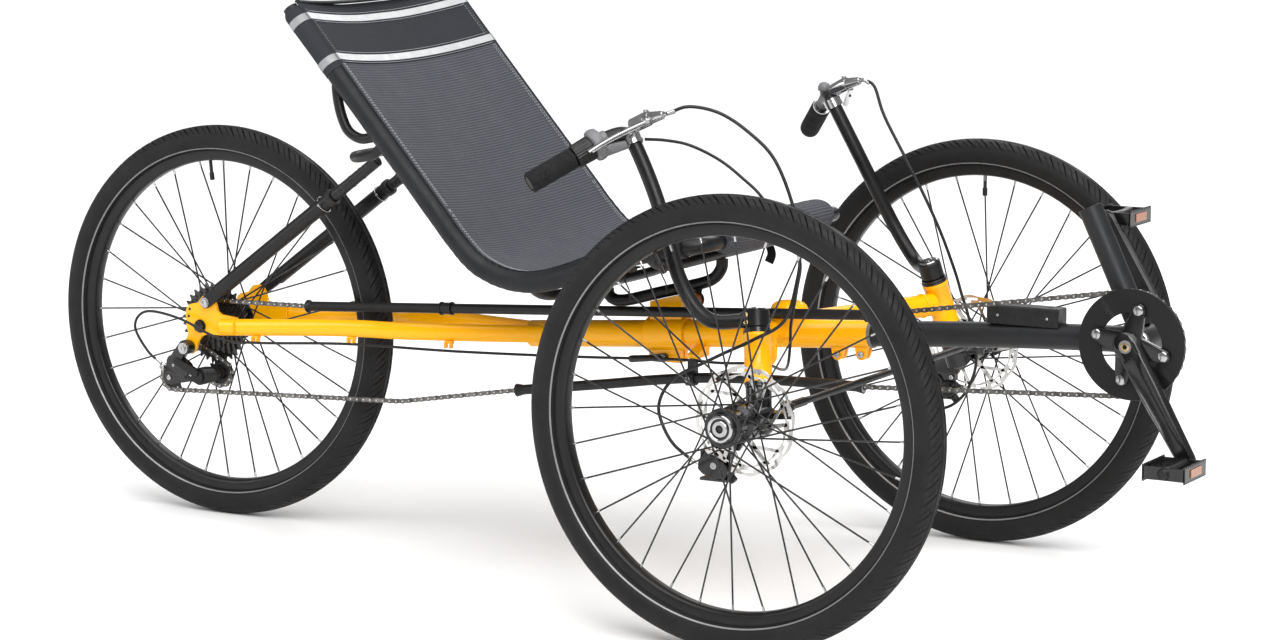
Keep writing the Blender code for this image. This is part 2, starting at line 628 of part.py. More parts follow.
def derailleur():
    hanger = Vector((-0.0225, -DROPOUT_OUTER - GAP, 0.2921))
    body = cylinder("derailleur_body", hanger, hanger + Vector((0, -0.020, 0)), 0.0120, 16, "plastic",
                    hanger)
    link = disc(hanger + Vector((-0.012, -0.006, -0.006)), 0.011,
                -0.012) + disc(Vector((-0.060, -0.072, 0.262)), 0.012, -0.014)
    knuckle = disc(Vector((-0.060, -0.072, 0.262)), 0.012, -0.014) + disc(Vector((0.004, -0.070, 0.243)),
                                                                          0.015, -0.012)
    combine(body, [convex("derailleur_link", link), convex("derailleur_knuckle", knuckle)])
    outer, inner = CHAIN_Y - 0.0112, CHAIN_Y + 0.0052
    plates = []
    for y, thickness in ((outer - CHAIN_Y, 0.0025), (inner - CHAIN_Y, 0.002)):
        shift = Vector((0, y, 0))
        plates.append(disc(GUIDE_JOCKEY + shift, 0.013, thickness) + disc(TENSION_JOCKEY + shift, 0.010,
                                                                          thickness))
    cage = convex("derailleur_cage", plates[0], "plastic", GUIDE_JOCKEY)
    added = [convex("inner_plate", plates[1])]
    for centre in (GUIDE_JOCKEY, TENSION_JOCKEY):
        pin = [centre + Vector((0, outer - CHAIN_Y + 0.0005, 0)),
               centre + Vector((0, inner - CHAIN_Y + 0.001, 0))]
        added.append(cylinder(f"pin_{centre.x:.3f}", *pin, 0.003, 10))
    combine(cage, added)
    for name, centre in (("guide_jockey", GUIDE_JOCKEY), ("tension_jockey", TENSION_JOCKEY)):
        start, end = centre + Vector((0, -0.004, 0)), centre + Vector((0, 0.004, 0))
        ring(name, start, end, JOCKEY_PITCH_RADIUS - CHAIN_HALF_HEIGHT - 0.0005, 0.0038, 20, "plastic",
             centre)


def front_corner(prefix, side):
    knuckle_top = HEAD_TUBE_LOW - HEADSET_HEIGHT
    pivot = on_kingpin(AXLE_HEIGHT, side)
    low = on_kingpin(knuckle_top + 0.0004, side)
    high = on_kingpin(HEAD_TUBE_HIGH + HEADSET_HEIGHT - 0.0004, side)
    cylinder(f"{prefix}_kingpin", low, high, KINGPIN_RADIUS, 20, "steel", pivot)
    foot, top = on_kingpin(0.303, side), on_kingpin(knuckle_top, side)
    knuckle = cylinder(f"{prefix}_knuckle", foot, top, 0.0190, 18, "black_paint", pivot)
    hub_face = (HALF_TRACK - 0.0350) * side
    boss = cylinder("boss", (WHEELBASE, 0.328 * side, AXLE_HEIGHT), (WHEELBASE, hub_face, AXLE_HEIGHT),
                    0.0135, 16)
    axle = [(-0.0400, 0), (-0.0400, 0.006), (0.0385, 0.006), (0.0385, 0.0105), (0.044, 0.0105), (0.044, 0)]
    spindle = lathe("spindle", axle, (WHEELBASE, HALF_TRACK * side, AXLE_HEIGHT), (0, side, 0), 16)
    arm_top = TIE_ROD_Z - 0.0090
    arm = disc((TIE_ROD_X, TIE_ROD_Y * side, arm_top - 0.008), 0.010, 0.008, (0, 0, 1))
    arm += disc((1.188, TIE_ROD_Y * side, arm_top - 0.010), 0.014, 0.010, (0, 0, 1))
    bracket = block((1.132, 0.3715 * side, 0.281), (1.176, 0.3765 * side, 0.300))
    bracket += block((1.180, 0.3560 * side, 0.318), (1.196, 0.3765 * side, 0.338))
    combine(knuckle, [boss, spindle, convex("steering_arm", arm), convex("caliper_bracket", bracket)])
    caliper(f"{prefix}_brake_caliper", Vector((1.148, 0.3922 * side, 0.2620)), side, pivot)


def caliper(name, at, side, pivot):
    """A block that straddles the rotor's edge, with the lever arm that the cable pulls."""
    low, high = at + Vector((-0.030, -0.0200 * side, -0.026)), at + Vector((0.023, 0.0062 * side, 0.0188))
    body = convex(name, block(low, high), "black_paint", pivot)
    slot_low = at + Vector((-0.05, -0.0030 * side, -0.0200))
    slot_high = at + Vector((0.05, 0.0016 * side, 0.040))
    return combine(body, cut=[convex(f"{name}_slot", block(slot_low, slot_high))])


def tie_rod():
    right = Vector((TIE_ROD_X, -TIE_ROD_Y, TIE_ROD_Z))
    left = Vector((TIE_ROD_X, TIE_ROD_Y, TIE_ROD_Z))
    rod = cylinder("tie_rod", right, left, 0.0055, 12, "black_paint", right)
    half = Vector((0, 0, 0.0055))
    eyes = [cylinder(f"eye_{p.y}", p - half, p + half, 0.0095, 14) for p in (right, left)]
    return combine(rod, eyes)


def controls(prefix, side):
    pivot = on_kingpin(AXLE_HEIGHT, side)
    route = [(1.1500, 0.3050, 0.4580), (1.109, 0.349, 0.464), (1.067, 0.355, 0.519), (1.016, 0.332, 0.629)]
    route += [(0.974, 0.325, 0.708), (0.962, 0.332, 0.7215), BAR_BEND, BAR_BEND.lerp(BAR_END, 0.3), BAR_END]
    path = smooth_path([mirrored(p, side) for p in route], 0.040)
    bar = sweep(f"{prefix}_handlebar", path, oval(0.0108), "black_paint", pivot)
    foot = HEAD_TUBE_HIGH + HEADSET_HEIGHT
    clamp = cylinder("stem_clamp", on_kingpin(foot, side), on_kingpin(foot + STEM_CLAMP_HEIGHT, side),
                     STEM_CLAMP_RADIUS, 20)
    combine(bar, [clamp])
    bend, end = mirrored(BAR_BEND, side), mirrored(BAR_END, side)
    axis = (end - bend).normalized()
    first = SHIFTER_END + 0.001 if side < 0 else 0.030
    ring(f"{prefix}_grip", bend + axis * first, end + axis * 0.006, 0.0160, 0.0122, 14, "rubber", pivot)


def brake_lever(prefix, side):
    """The lever's body above the bar's top bend, and the blade that pivots in it."""
    pivot = mirrored((0.992, 0.322, 0.7440), side)
    ends = [mirrored((0.975, 0.325, 0.7395), side), mirrored((1.026, 0.322, 0.7530), side)]
    body = tube(f"{prefix}_lever_body", ends, 0.0085, 0.03, 12, "aluminium")
    move_origin(body, on_kingpin(AXLE_HEIGHT, side))
    route = [(1.0027, 0.3345, 0.7428), (0.9862, 0.3586, 0.7336), (0.9720, 0.3817, 0.7230)]
    route += [(0.9602, 0.4000, 0.7129), (0.9493, 0.4153, 0.7025)]
    path = smooth_path([mirrored(p, side) for p in route], 0.02)
    sweep(f"{prefix}_brake_lever", path, oval(0.0055, 0.0035, 8), "aluminium", pivot)


def cables():
    right_brake = [(1.0275, -0.322, 0.7535), (1.0554, -0.308, 0.7640), (1.0965, -0.290, 0.7549),
                   (1.1404, -0.280, 0.7272)]
    right_brake += [(1.1786, -0.275, 0.6897), (1.2082, -0.275, 0.6249), (1.2247, -0.285, 0.5634),
                    (1.2282, -0.300, 0.5206)]
    right_brake += [(1.2206, -0.325, 0.4654), (1.1804, -0.345, 0.4375), (1.1379, -0.352, 0.4162),
                    (1.1003, -0.352, 0.3970)]
    right_brake += [(1.0657, -0.352, 0.3794), (1.0425, -0.352, 0.3583), (1.0320, -0.354, 0.3326),
                    (1.0376, -0.358, 0.3101)]
    right_brake += [(1.0604, -0.364, 0.2795), (1.1002, -0.370, 0.2560)]
    left_brake = [(1.0275, 0.322, 0.7535), (1.0480, 0.318, 0.7440), (1.0694, 0.310, 0.6997),
                  (1.1094, 0.300, 0.6401)]
    left_brake += [(1.1445, 0.300, 0.5795), (1.1738, 0.305, 0.5182), (1.1963, 0.312, 0.4564),
                   (1.2040, 0.322, 0.4185)]
    left_brake += [(1.2090, 0.335, 0.3866), (1.2160, 0.352, 0.3268), (1.2090, 0.362, 0.2858),
                   (1.1856, 0.368, 0.2450)]
    left_brake += [(1.1500, 0.3700, 0.2230), (1.1050, 0.3700, 0.2290), (1.0850, 0.3700, 0.2480),
                   (1.1002, 0.3700, 0.2600)]
    for prefix, route, side in (("right", right_brake, -1), ("left", left_brake, 1)):
        housing = cable(f"{prefix}_brake_cable", route, 0.0050, 0.045)
        move_origin(housing, on_kingpin(AXLE_HEIGHT, side))
    shift_front = [(0.988, -0.318, 0.7141), (1.0168, -0.310, 0.7134), (1.0527, -0.300, 0.7071),
                   (1.0979, -0.292, 0.6870)]
    shift_front += [(1.1352, -0.285, 0.6593), (1.1604, -0.280, 0.6356), (1.1929, -0.262, 0.5813),
                    (1.2086, -0.252, 0.5422)]
    shift_front += [(1.2010, -0.247, 0.4996), (1.1925, -0.2455, 0.4560)]
    shift_rear = [(1.1905, -0.2455, 0.4430), (1.1850, -0.236, 0.4140), (1.170, -0.215, 0.3800),
                  (1.110, -0.120, 0.3560)]
    shift_rear += [(1.040, -0.045, 0.3480)]
    shift_rear += [(0.960, -0.030, 0.3400), (0.880, -0.030, 0.3390), (0.700, -0.034, 0.3290),
                   (0.500, -0.068, 0.3260)]
    shift_rear += [(0.300, -0.083, 0.3240), (0.120, -0.0870, 0.3120), (0.050, -0.0895, 0.3140)]
    shift_rear += [(-0.030, -0.0930, 0.3420), (-0.100, -0.090, 0.3480)]
    shift_rear += [(-0.128, -0.085, 0.3200), (-0.105, -0.082, 0.2800), (-0.078, -0.0800, 0.2600)]
    move_origin(cable("shift_cable_front", shift_front, 0.0045, 0.045), on_kingpin(AXLE_HEIGHT, -1))
    cable("shift_cable_rear", shift_rear, 0.0045, 0.060)


def seat_profile():
    """The side view of the seat tubes, from the top of the back round to the front of the base."""
    return [
        (0.300, 0.876), (0.435, 0.7225), (0.569, 0.5705), (0.600, 0.5350), (0.6385, 0.4990), (0.680,
                                                                                              0.4800),
        (0.720, 0.4740), (0.761, 0.4780), (0.810, 0.4930), (0.870, 0.5160), (0.945, 0.5350), (1.005,
                                                                                              0.5460),
    ]


def seat_frame():
    side = [(x, SEAT_HALF_WIDTH, z) for x, z in seat_profile()]
    route = side + [(1.026, 0.216, 0.549), (1.032, 0.190, 0.550), (1.032, 0.160, 0.550), (1.032, 0, 0.550)]
    route += [(x, -y, z) for x, y, z in reversed(route[:-1])]
    frame = sweep("seat_frame", smooth_path(route, 0.11), oval(SEAT_TUBE_RADIUS, sides=8), "black_paint")
    added = []
    for name, x, z in (("front_bar", 0.945, 0.535), ("rear_bar", 0.741, 0.4755)):
        half = [(x, 0.2265, z - 0.010), (x, 0.205, z - 0.021), (x, 0.150, z - 0.0290), (x, 0, z - 0.0290)]
        bar = half + [(a, -b, c) for a, b, c in reversed(half[:-1])]
        added.append(tube(name, bar, 0.0080, 0.09, 6))
    bow = [(0.468, 0.226, 0.6700), (0.455, 0.2250, 0.6560), (0.420, 0.2140, 0.6470), (0.392, 0.190, 0.6440)]
    bow += [(0.384, 0.150, 0.6440), (0.384, 0, 0.6440)]
    added.append(tube("back_bow", bow + [(x, -y, z) for x, y, z in reversed(bow[:-1])], 0.0080, 0.08, 6))
    for way in (1, -1):
        loop = [(0.456, 0.228, 0.6820), (0.430, 0.228, 0.6780), (0.408, 0.228, 0.688),
                (0.3965, 0.228, 0.707)]
        loop += [(0.389, 0.228, 0.732), (0.386, 0.228, 0.760), (0.392, 0.228, 0.775)]
        added.append(tube(f"back_loop_{way}", [mirrored(p, way) for p in loop], 0.0080, 0.05, 6))
    return combine(frame, added)


def sling():
    """The mesh seat between the side tubes: a thin sheet that hangs a little below them."""
    half = SEAT_HALF_WIDTH - SEAT_TUBE_RADIUS - 0.0006
    path = [Vector((x, 0, z)) for x, z in seat_profile()]
    sag = 0.010
    columns = [-1, -0.6, 0, 0.6, 1]
    count = len(columns)
    points = []
    for i, here in enumerate(path):
        ahead = (path[min(i + 1, len(path) - 1)] - path[max(i - 1, 0)]).normalized()
        up = Vector((0, 1, 0)).cross(ahead) * -1
        for level in (SLING_HALF_THICKNESS, -SLING_HALF_THICKNESS):
            points += [here + Vector((0, half * c, 0)) + up * (level - sag * (1 - c * c)) for c in columns]
    faces = []
    for i in range(len(path) - 1):
        row, following = 2 * count * i, 2 * count * (i + 1)
        for k in range(count - 1):
            faces.append((row + k, row + k + 1, following + k + 1, following + k))
            faces.append((row + count + k, row + count + k + 1, following + count + k + 1,
                          following + count + k))
        for k in (0, count - 1):
            faces.append((row + k, row + count + k, following + count + k, following + k))
    for row in (0, 2 * count * (len(path) - 1)):
        for k in range(count - 1):
            faces.append((row + k, row + k + 1, row + count + k + 1, row + count + k))
    return solid("seat_sling", points, faces, "mesh_fabric")


def seat_fittings():
    pad_bore = oval(SEAT_TUBE_RADIUS + 0.0012, sides=10)
    pad_path = [(1.032, 0.170, 0.550), (1.032, -0.170, 0.550)]
    sweep("seat_nose_pad", pad_path, oval(0.0270, 0.0240, 10), "vinyl", bore=pad_bore)
    support = [(0.945, 0, 0.4975), (0.943, 0, 0.482), (0.927, 0, 0.464), (0.888, 0, 0.451),
               (0.8345, 0, 0.437)]
    support += [(0.7805, 0, 0.422), (0.755, 0, 0.4195), (0.743, 0, 0.4265), (0.741, 0, 0.4370)]
    tube("seat_support_tube", support, 0.0095, 0.05, 10)
    axis = (MAIN_TUBE_FRONT - MAIN_TUBE_REAR).normalized()
    start = MAIN_TUBE_REAR + axis * 0.218
    end = start + axis * 0.070
    clamp = cylinder("seat_clamp", start, end, 0.0270, 20, "yellow_paint", start)
    tower_corners = block((0.824, -0.013, 0.3900),
                          (0.880, 0.013, 0.4238)) + block((0.880, -0.013, 0.4300),
                                                          (0.8795, 0.013, 0.4382))
    tower = convex("clamp_tower", tower_corners)
    lug = convex("clamp_lug", block((0.822, -0.012, 0.3300), (0.878, 0.012, 0.3600)))
    bore = cylinder("clamp_bore", start - axis * 0.1, end + axis * 0.1, MAIN_TUBE_RADIUS + 0.0008, 20)
    combine(clamp, [tower, lug], [bore])
    lever = Vector((0.850, -0.0125, 0.3375))
    arm = disc(lever, 0.0070, -0.007) + disc(lever + Vector((-0.055, -0.004, -0.006)), 0.0055, -0.005)
    convex("seat_quick_release", arm, "steel", lever)


def struts():
    for prefix, side in (("right", -1), ("left", 1)):
        foot, head = mirrored(STRUT_FOOT, side), mirrored(STRUT_HEAD, side)
        along = (head - foot).normalized()
        tube_start = foot + along * 0.040
        outer_end = foot + along * STRUT_OUTER_LENGTH
        outer = ring(f"{prefix}_strut_outer", tube_start, outer_end, 0.0125, 0.0103, 16, "black_paint",
                     foot)
        eye = Vector((foot.x, (DROPOUT_OUTER + GAP) * side, foot.z))
        tongue = disc(eye, 0.0095, 0.0080 * side, steps=12) + disc(eye + along * 0.046, 0.0095,
                                                                   0.0080 * side, steps=12)
        collar = ring("collar", outer_end - along * 0.022, outer_end, 0.0150, 0.0115, 16)
        combine(outer, [convex("tongue", tongue), collar])
        cylinder(f"{prefix}_strut_inner", foot + along * 0.160, head, 0.0095, 16, "black_paint", foot)


def twist_shifter():
    bend, end = mirrored(BAR_BEND, -1), mirrored(BAR_END, -1)
    axis = (end - bend).normalized()
    start = bend + axis * SHIFTER_START
    ring("twist_shifter", start, bend + axis * SHIFTER_END, 0.0185, 0.0125, 14, "plastic", start)


clear_scene()
main_frame()
boom()
drive()
chain_and_tubes()
derailleur()
rear_wheel()
for name_of_side, sign in (("right", -1), ("left", 1)):
    front_wheel(name_of_side, sign)
    front_corner(name_of_side, sign)
    controls(name_of_side, sign)
    brake_lever(name_of_side, sign)
tie_rod()
twist_shifter()
cables()
seat_frame()
sling()
seat_fittings()
struts()
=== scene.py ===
"""The looks of the recumbent tricycle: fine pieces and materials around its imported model.

Metres, +X forward, +Y to the rider's left, +Z up, the ground under the rear axle at the origin.
"""

import math

import bmesh
import bpy
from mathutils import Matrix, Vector


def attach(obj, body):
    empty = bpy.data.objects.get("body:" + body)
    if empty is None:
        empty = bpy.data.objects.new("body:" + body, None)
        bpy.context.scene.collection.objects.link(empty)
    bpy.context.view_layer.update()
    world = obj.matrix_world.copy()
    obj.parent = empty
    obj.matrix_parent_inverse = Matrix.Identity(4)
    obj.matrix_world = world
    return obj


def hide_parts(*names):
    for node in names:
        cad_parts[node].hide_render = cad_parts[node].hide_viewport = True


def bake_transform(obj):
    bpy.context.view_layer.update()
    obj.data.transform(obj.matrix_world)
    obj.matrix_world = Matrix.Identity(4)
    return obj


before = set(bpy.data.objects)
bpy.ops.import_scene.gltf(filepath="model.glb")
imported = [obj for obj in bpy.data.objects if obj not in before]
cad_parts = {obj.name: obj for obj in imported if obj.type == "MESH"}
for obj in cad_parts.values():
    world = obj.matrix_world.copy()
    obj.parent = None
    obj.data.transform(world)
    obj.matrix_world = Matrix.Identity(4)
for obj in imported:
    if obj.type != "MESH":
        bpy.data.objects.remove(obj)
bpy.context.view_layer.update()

SIDES = (("right", -1), ("left", 1))
ACROSS = Vector((0, 1, 0))

# Wheels
WHEELBASE = 1.194
HALF_TRACK = 0.428
AXLE_HEIGHT = 0.329
TREAD_BLOCKS = 84
SPOKES_PER_SIDE = 16

# Steering
KINGPIN_TOP = Vector((1.160, 0.293, 0.468))
KINGPIN_SLOPE = Vector((0.19, 0.30, -1))
HEAD_LOW = 0.372
HEAD_HIGH = 0.4395
HEADSET_HEIGHT = 0.007
BAR_BEND = Vector((0.944, 0.353, 0.716))
BAR_END = Vector((0.871, 0.441, 0.658))

# Frame and drive
MAIN_REAR = Vector((0.600, 0, 0.354))
MAIN_FRONT = Vector((1.203, 0, 0.4008))
MAIN_AXIS = (MAIN_FRONT - MAIN_REAR).normalized()
CRANK_AXIS = Vector((1.643, 0, 0.427))
CRANK_LENGTH = 0.188
CRANK_ANGLE = math.radians(-58.7)
ARM_STEP = {-1: 0.003, 1: 0.012}  # how far each crank arm leans out, from its root to the pedal
CHAIN_Y = -0.047
HANGER_X = 0.917
CHAIN_PITCH = 0.0127
CHAINRING_TEETH = 38  # assumed, not counted in the photo; the coupling ratios use the same counts
JOCKEY_TEETH = 11
SPROCKET_TEETH = (32, 28, 25, 22, 20, 17, 14, 12)
CHAINRING_RADIUS = 0.0768
SPROCKET_RADIUS = 0.0404
JOCKEY_RADIUS = 0.0222
GUIDE_JOCKEY = Vector((0.0195, CHAIN_Y, 0.2480))
TENSION_JOCKEY = Vector((-0.0790, CHAIN_Y, 0.2330))
UPPER_TUBE_REAR = Vector((0.198, CHAIN_Y, 0.3735))
UPPER_TUBE_FRONT = Vector((1.220, CHAIN_Y, 0.4370))
LOWER_TUBE = [(0.601, 0.269), (0.761, 0.2925), (0.860, 0.3080), (0.950, 0.3185), (1.060, 0.3245),
              (1.213, 0.3270)]
LOWER_ROUTE = [Vector((x, CHAIN_Y, z)) for x, z in LOWER_TUBE]

# Seat
SEAT_HALF = 0.228
SLEEVE_RADIUS = 0.0162
SLING_HALF = SEAT_HALF - 0.0025
SLING_EDGE = 0.0160  # how high the cloth's edges lie above the side tubes' middle line
SLING_SAG = 0.0150
SEAT_PROFILE = [
    (0.300, 0.876), (0.435, 0.7225), (0.569, 0.5705), (0.600, 0.5350), (0.6385, 0.4990), (0.680, 0.4800),
    (0.720, 0.4740), (0.761, 0.4780), (0.810, 0.4930), (0.870, 0.5160), (0.945, 0.5350), (1.005, 0.5460),
]
STRUT_FOOT = Vector((0.0158, 0.0825, 0.3705))
STRUT_HEAD = Vector((0.3640, 0.0825, 0.6270))
STRUT_OUTER_LENGTH = 0.326
CLOTH_STEPS = 24
CLOTH_CAP = 0.008  # no point of the sling moves further than this in the simulation

# Camera and light
CAMERA_PLACE = (3.545, -4.8226, 1.2567)
CAMERA_AZIMUTH = math.radians(29.66)
CAMERA_ELEVATION = math.radians(8.87)
CAMERA_LENS = 100.7
WORLD_STRENGTH = 0.36
SUN_STRENGTH = 3.3
SUN_WIDTH = math.radians(70)
LAMP_TARGET = Vector((0.72, 0, 0.40))


# Materials ---------------------------------------------------------------------------------------


class Finish:
    """A Principled material with mottled colour, uneven gloss, fine grain and worn edges."""

    def __init__(self, name, colour, roughness, metallic=0.0, slot=None, **sockets):
        self.slot = slot
        self.material = bpy.data.materials.new(name)
        self.material.use_nodes = True
        self.tree = self.material.node_tree
        self.shader = self.tree.nodes["Principled BSDF"]
        self.place = self.node("ShaderNodeTexCoord").outputs["Object"]
        self.colour = self.constant(colour)
        self.height = None
        self.shader.inputs["Base Color"].default_value = (*colour, 1)
        self.shader.inputs["Roughness"].default_value = roughness
        self.shader.inputs["Metallic"].default_value = metallic
        self.roughness = roughness
        for socket, value in sockets.items():
            self.shader.inputs[socket.replace("_", " ").title().replace("Ior", "IOR")].default_value = value

    def node(self, kind, **inputs):
        made = self.tree.nodes.new(kind)
        for name, value in inputs.items():
            socket = made.inputs[name.replace("_", " ")]
            if isinstance(value, bpy.types.NodeSocket):
                self.tree.links.new(value, socket)
            else:
                socket.default_value = value
        return made

    def constant(self, colour):
        made = self.node("ShaderNodeRGB")
        made.outputs[0].default_value = (*colour, 1)
        return made.outputs[0]

    def noise(self, scale, detail=3.0, place=None):
        return self.node("ShaderNodeTexNoise", Vector=place or self.place, Scale=scale,
                         Detail=detail).outputs["Fac"]

    def spread(self, value, low, high, from_low=0.3, from_high=0.7):
        made = self.node("ShaderNodeMapRange", Value=value)
        for name, number in zip(("From Min", "From Max", "To Min", "To Max"),
                                (from_low, from_high, low, high)):
            made.inputs[name].default_value = number
        return made.outputs["Result"]

    def math(self, operation, first, second=0.0):
        made = self.tree.nodes.new("ShaderNodeMath")
        made.operation = operation
        for socket, value in zip(made.inputs, (first, second)):
            if isinstance(value, bpy.types.NodeSocket):
                self.tree.links.new(value, socket)
            else:
                socket.default_value = value
        return made.outputs[0]

    def blend(self, share, colour):
        """Mixes another colour in, as much as the share says."""
        made = self.tree.nodes.new("ShaderNodeMix")
        made.data_type = "RGBA"
        self.tree.links.new(share, made.inputs["Factor"])
        self.tree.links.new(self.colour, made.inputs["A"])
        made.inputs["B"].default_value = (*colour, 1)
        self.colour = made.outputs["Result"]
        return self

    def mottle(self, colour, scale, amount):
        return self.blend(self.spread(self.noise(scale, 5), 0, amount), colour)

    def wear(self, colour, amount, sharp=0.53):
        """Lightens the convex edges, where hands and tools rub."""
        edge = self.node("ShaderNodeNewGeometry").outputs["Pointiness"]
        worn = self.spread(edge, 0, amount, sharp, sharp + 0.06)
        return self.blend(self.math("MULTIPLY", worn, self.spread(self.noise(220, 4), 0, 1)), colour)

    def gloss(self, amount, scale=30):
        low, high = max(0.02, self.roughness - amount), min(1.0, self.roughness + amount)
        self.tree.links.new(self.spread(self.noise(scale, 5), low, high), self.shader.inputs["Roughness"])
        return self

    def relief(self, height, strength, distance):
        self.height = self.node("ShaderNodeBump", Height=height, Strength=strength, Distance=distance)
        if self.shader.inputs["Normal"].is_linked:
            before = self.shader.inputs["Normal"].links[0].from_socket
            self.tree.links.new(before, self.height.inputs["Normal"])
        self.tree.links.new(self.height.outputs["Normal"], self.shader.inputs["Normal"])
        return self

    def grain(self, scale, strength=0.25, distance=0.0004):
        return self.relief(self.noise(scale, 4), strength, distance)

    def weave(self, scale, across, strength, distance, colour, amount):
        """Threads that run along the surface's own U and V, given in metres."""
        uv = self.node("ShaderNodeSeparateXYZ", Vector=self.node("ShaderNodeUVMap").outputs["UV"])
        first = self.math("MULTIPLY", uv.outputs["X"], scale)
        second = self.math("MULTIPLY", uv.outputs["Y"], scale * across)
        warp = self.math("SINE", self.math("ADD", first, second))
        weft = self.math("SINE", self.math("SUBTRACT", first, second))
        cloth = self.math("MULTIPLY", warp, weft)
        self.blend(self.spread(cloth, 0, amount, -0.2, 0.9), colour)
        return self.relief(cloth, strength, distance)

    def rings(self, scale, strength, distance, amount=0.0, colour=(1, 1, 1)):
        """Turning marks round the piece's own Y axis."""
        flat = self.node("ShaderNodeVectorMath", Vector=self.place)
        flat.operation = "MULTIPLY"
        flat.inputs[1].default_value = (1, 0, 1)
        radius = self.tree.nodes.new("ShaderNodeVectorMath")
        radius.operation = "LENGTH"
        self.tree.links.new(flat.outputs["Vector"], radius.inputs[0])
        place = self.node("ShaderNodeCombineXYZ", X=radius.outputs["Value"]).outputs["Vector"]
        marks = self.noise(scale, 2, place)
        if amount:
            self.blend(self.spread(marks, 0, amount), colour)
        return self.relief(marks, strength, distance)

    def done(self):
        self.tree.links.new(self.colour, self.shader.inputs["Base Color"])
        return self


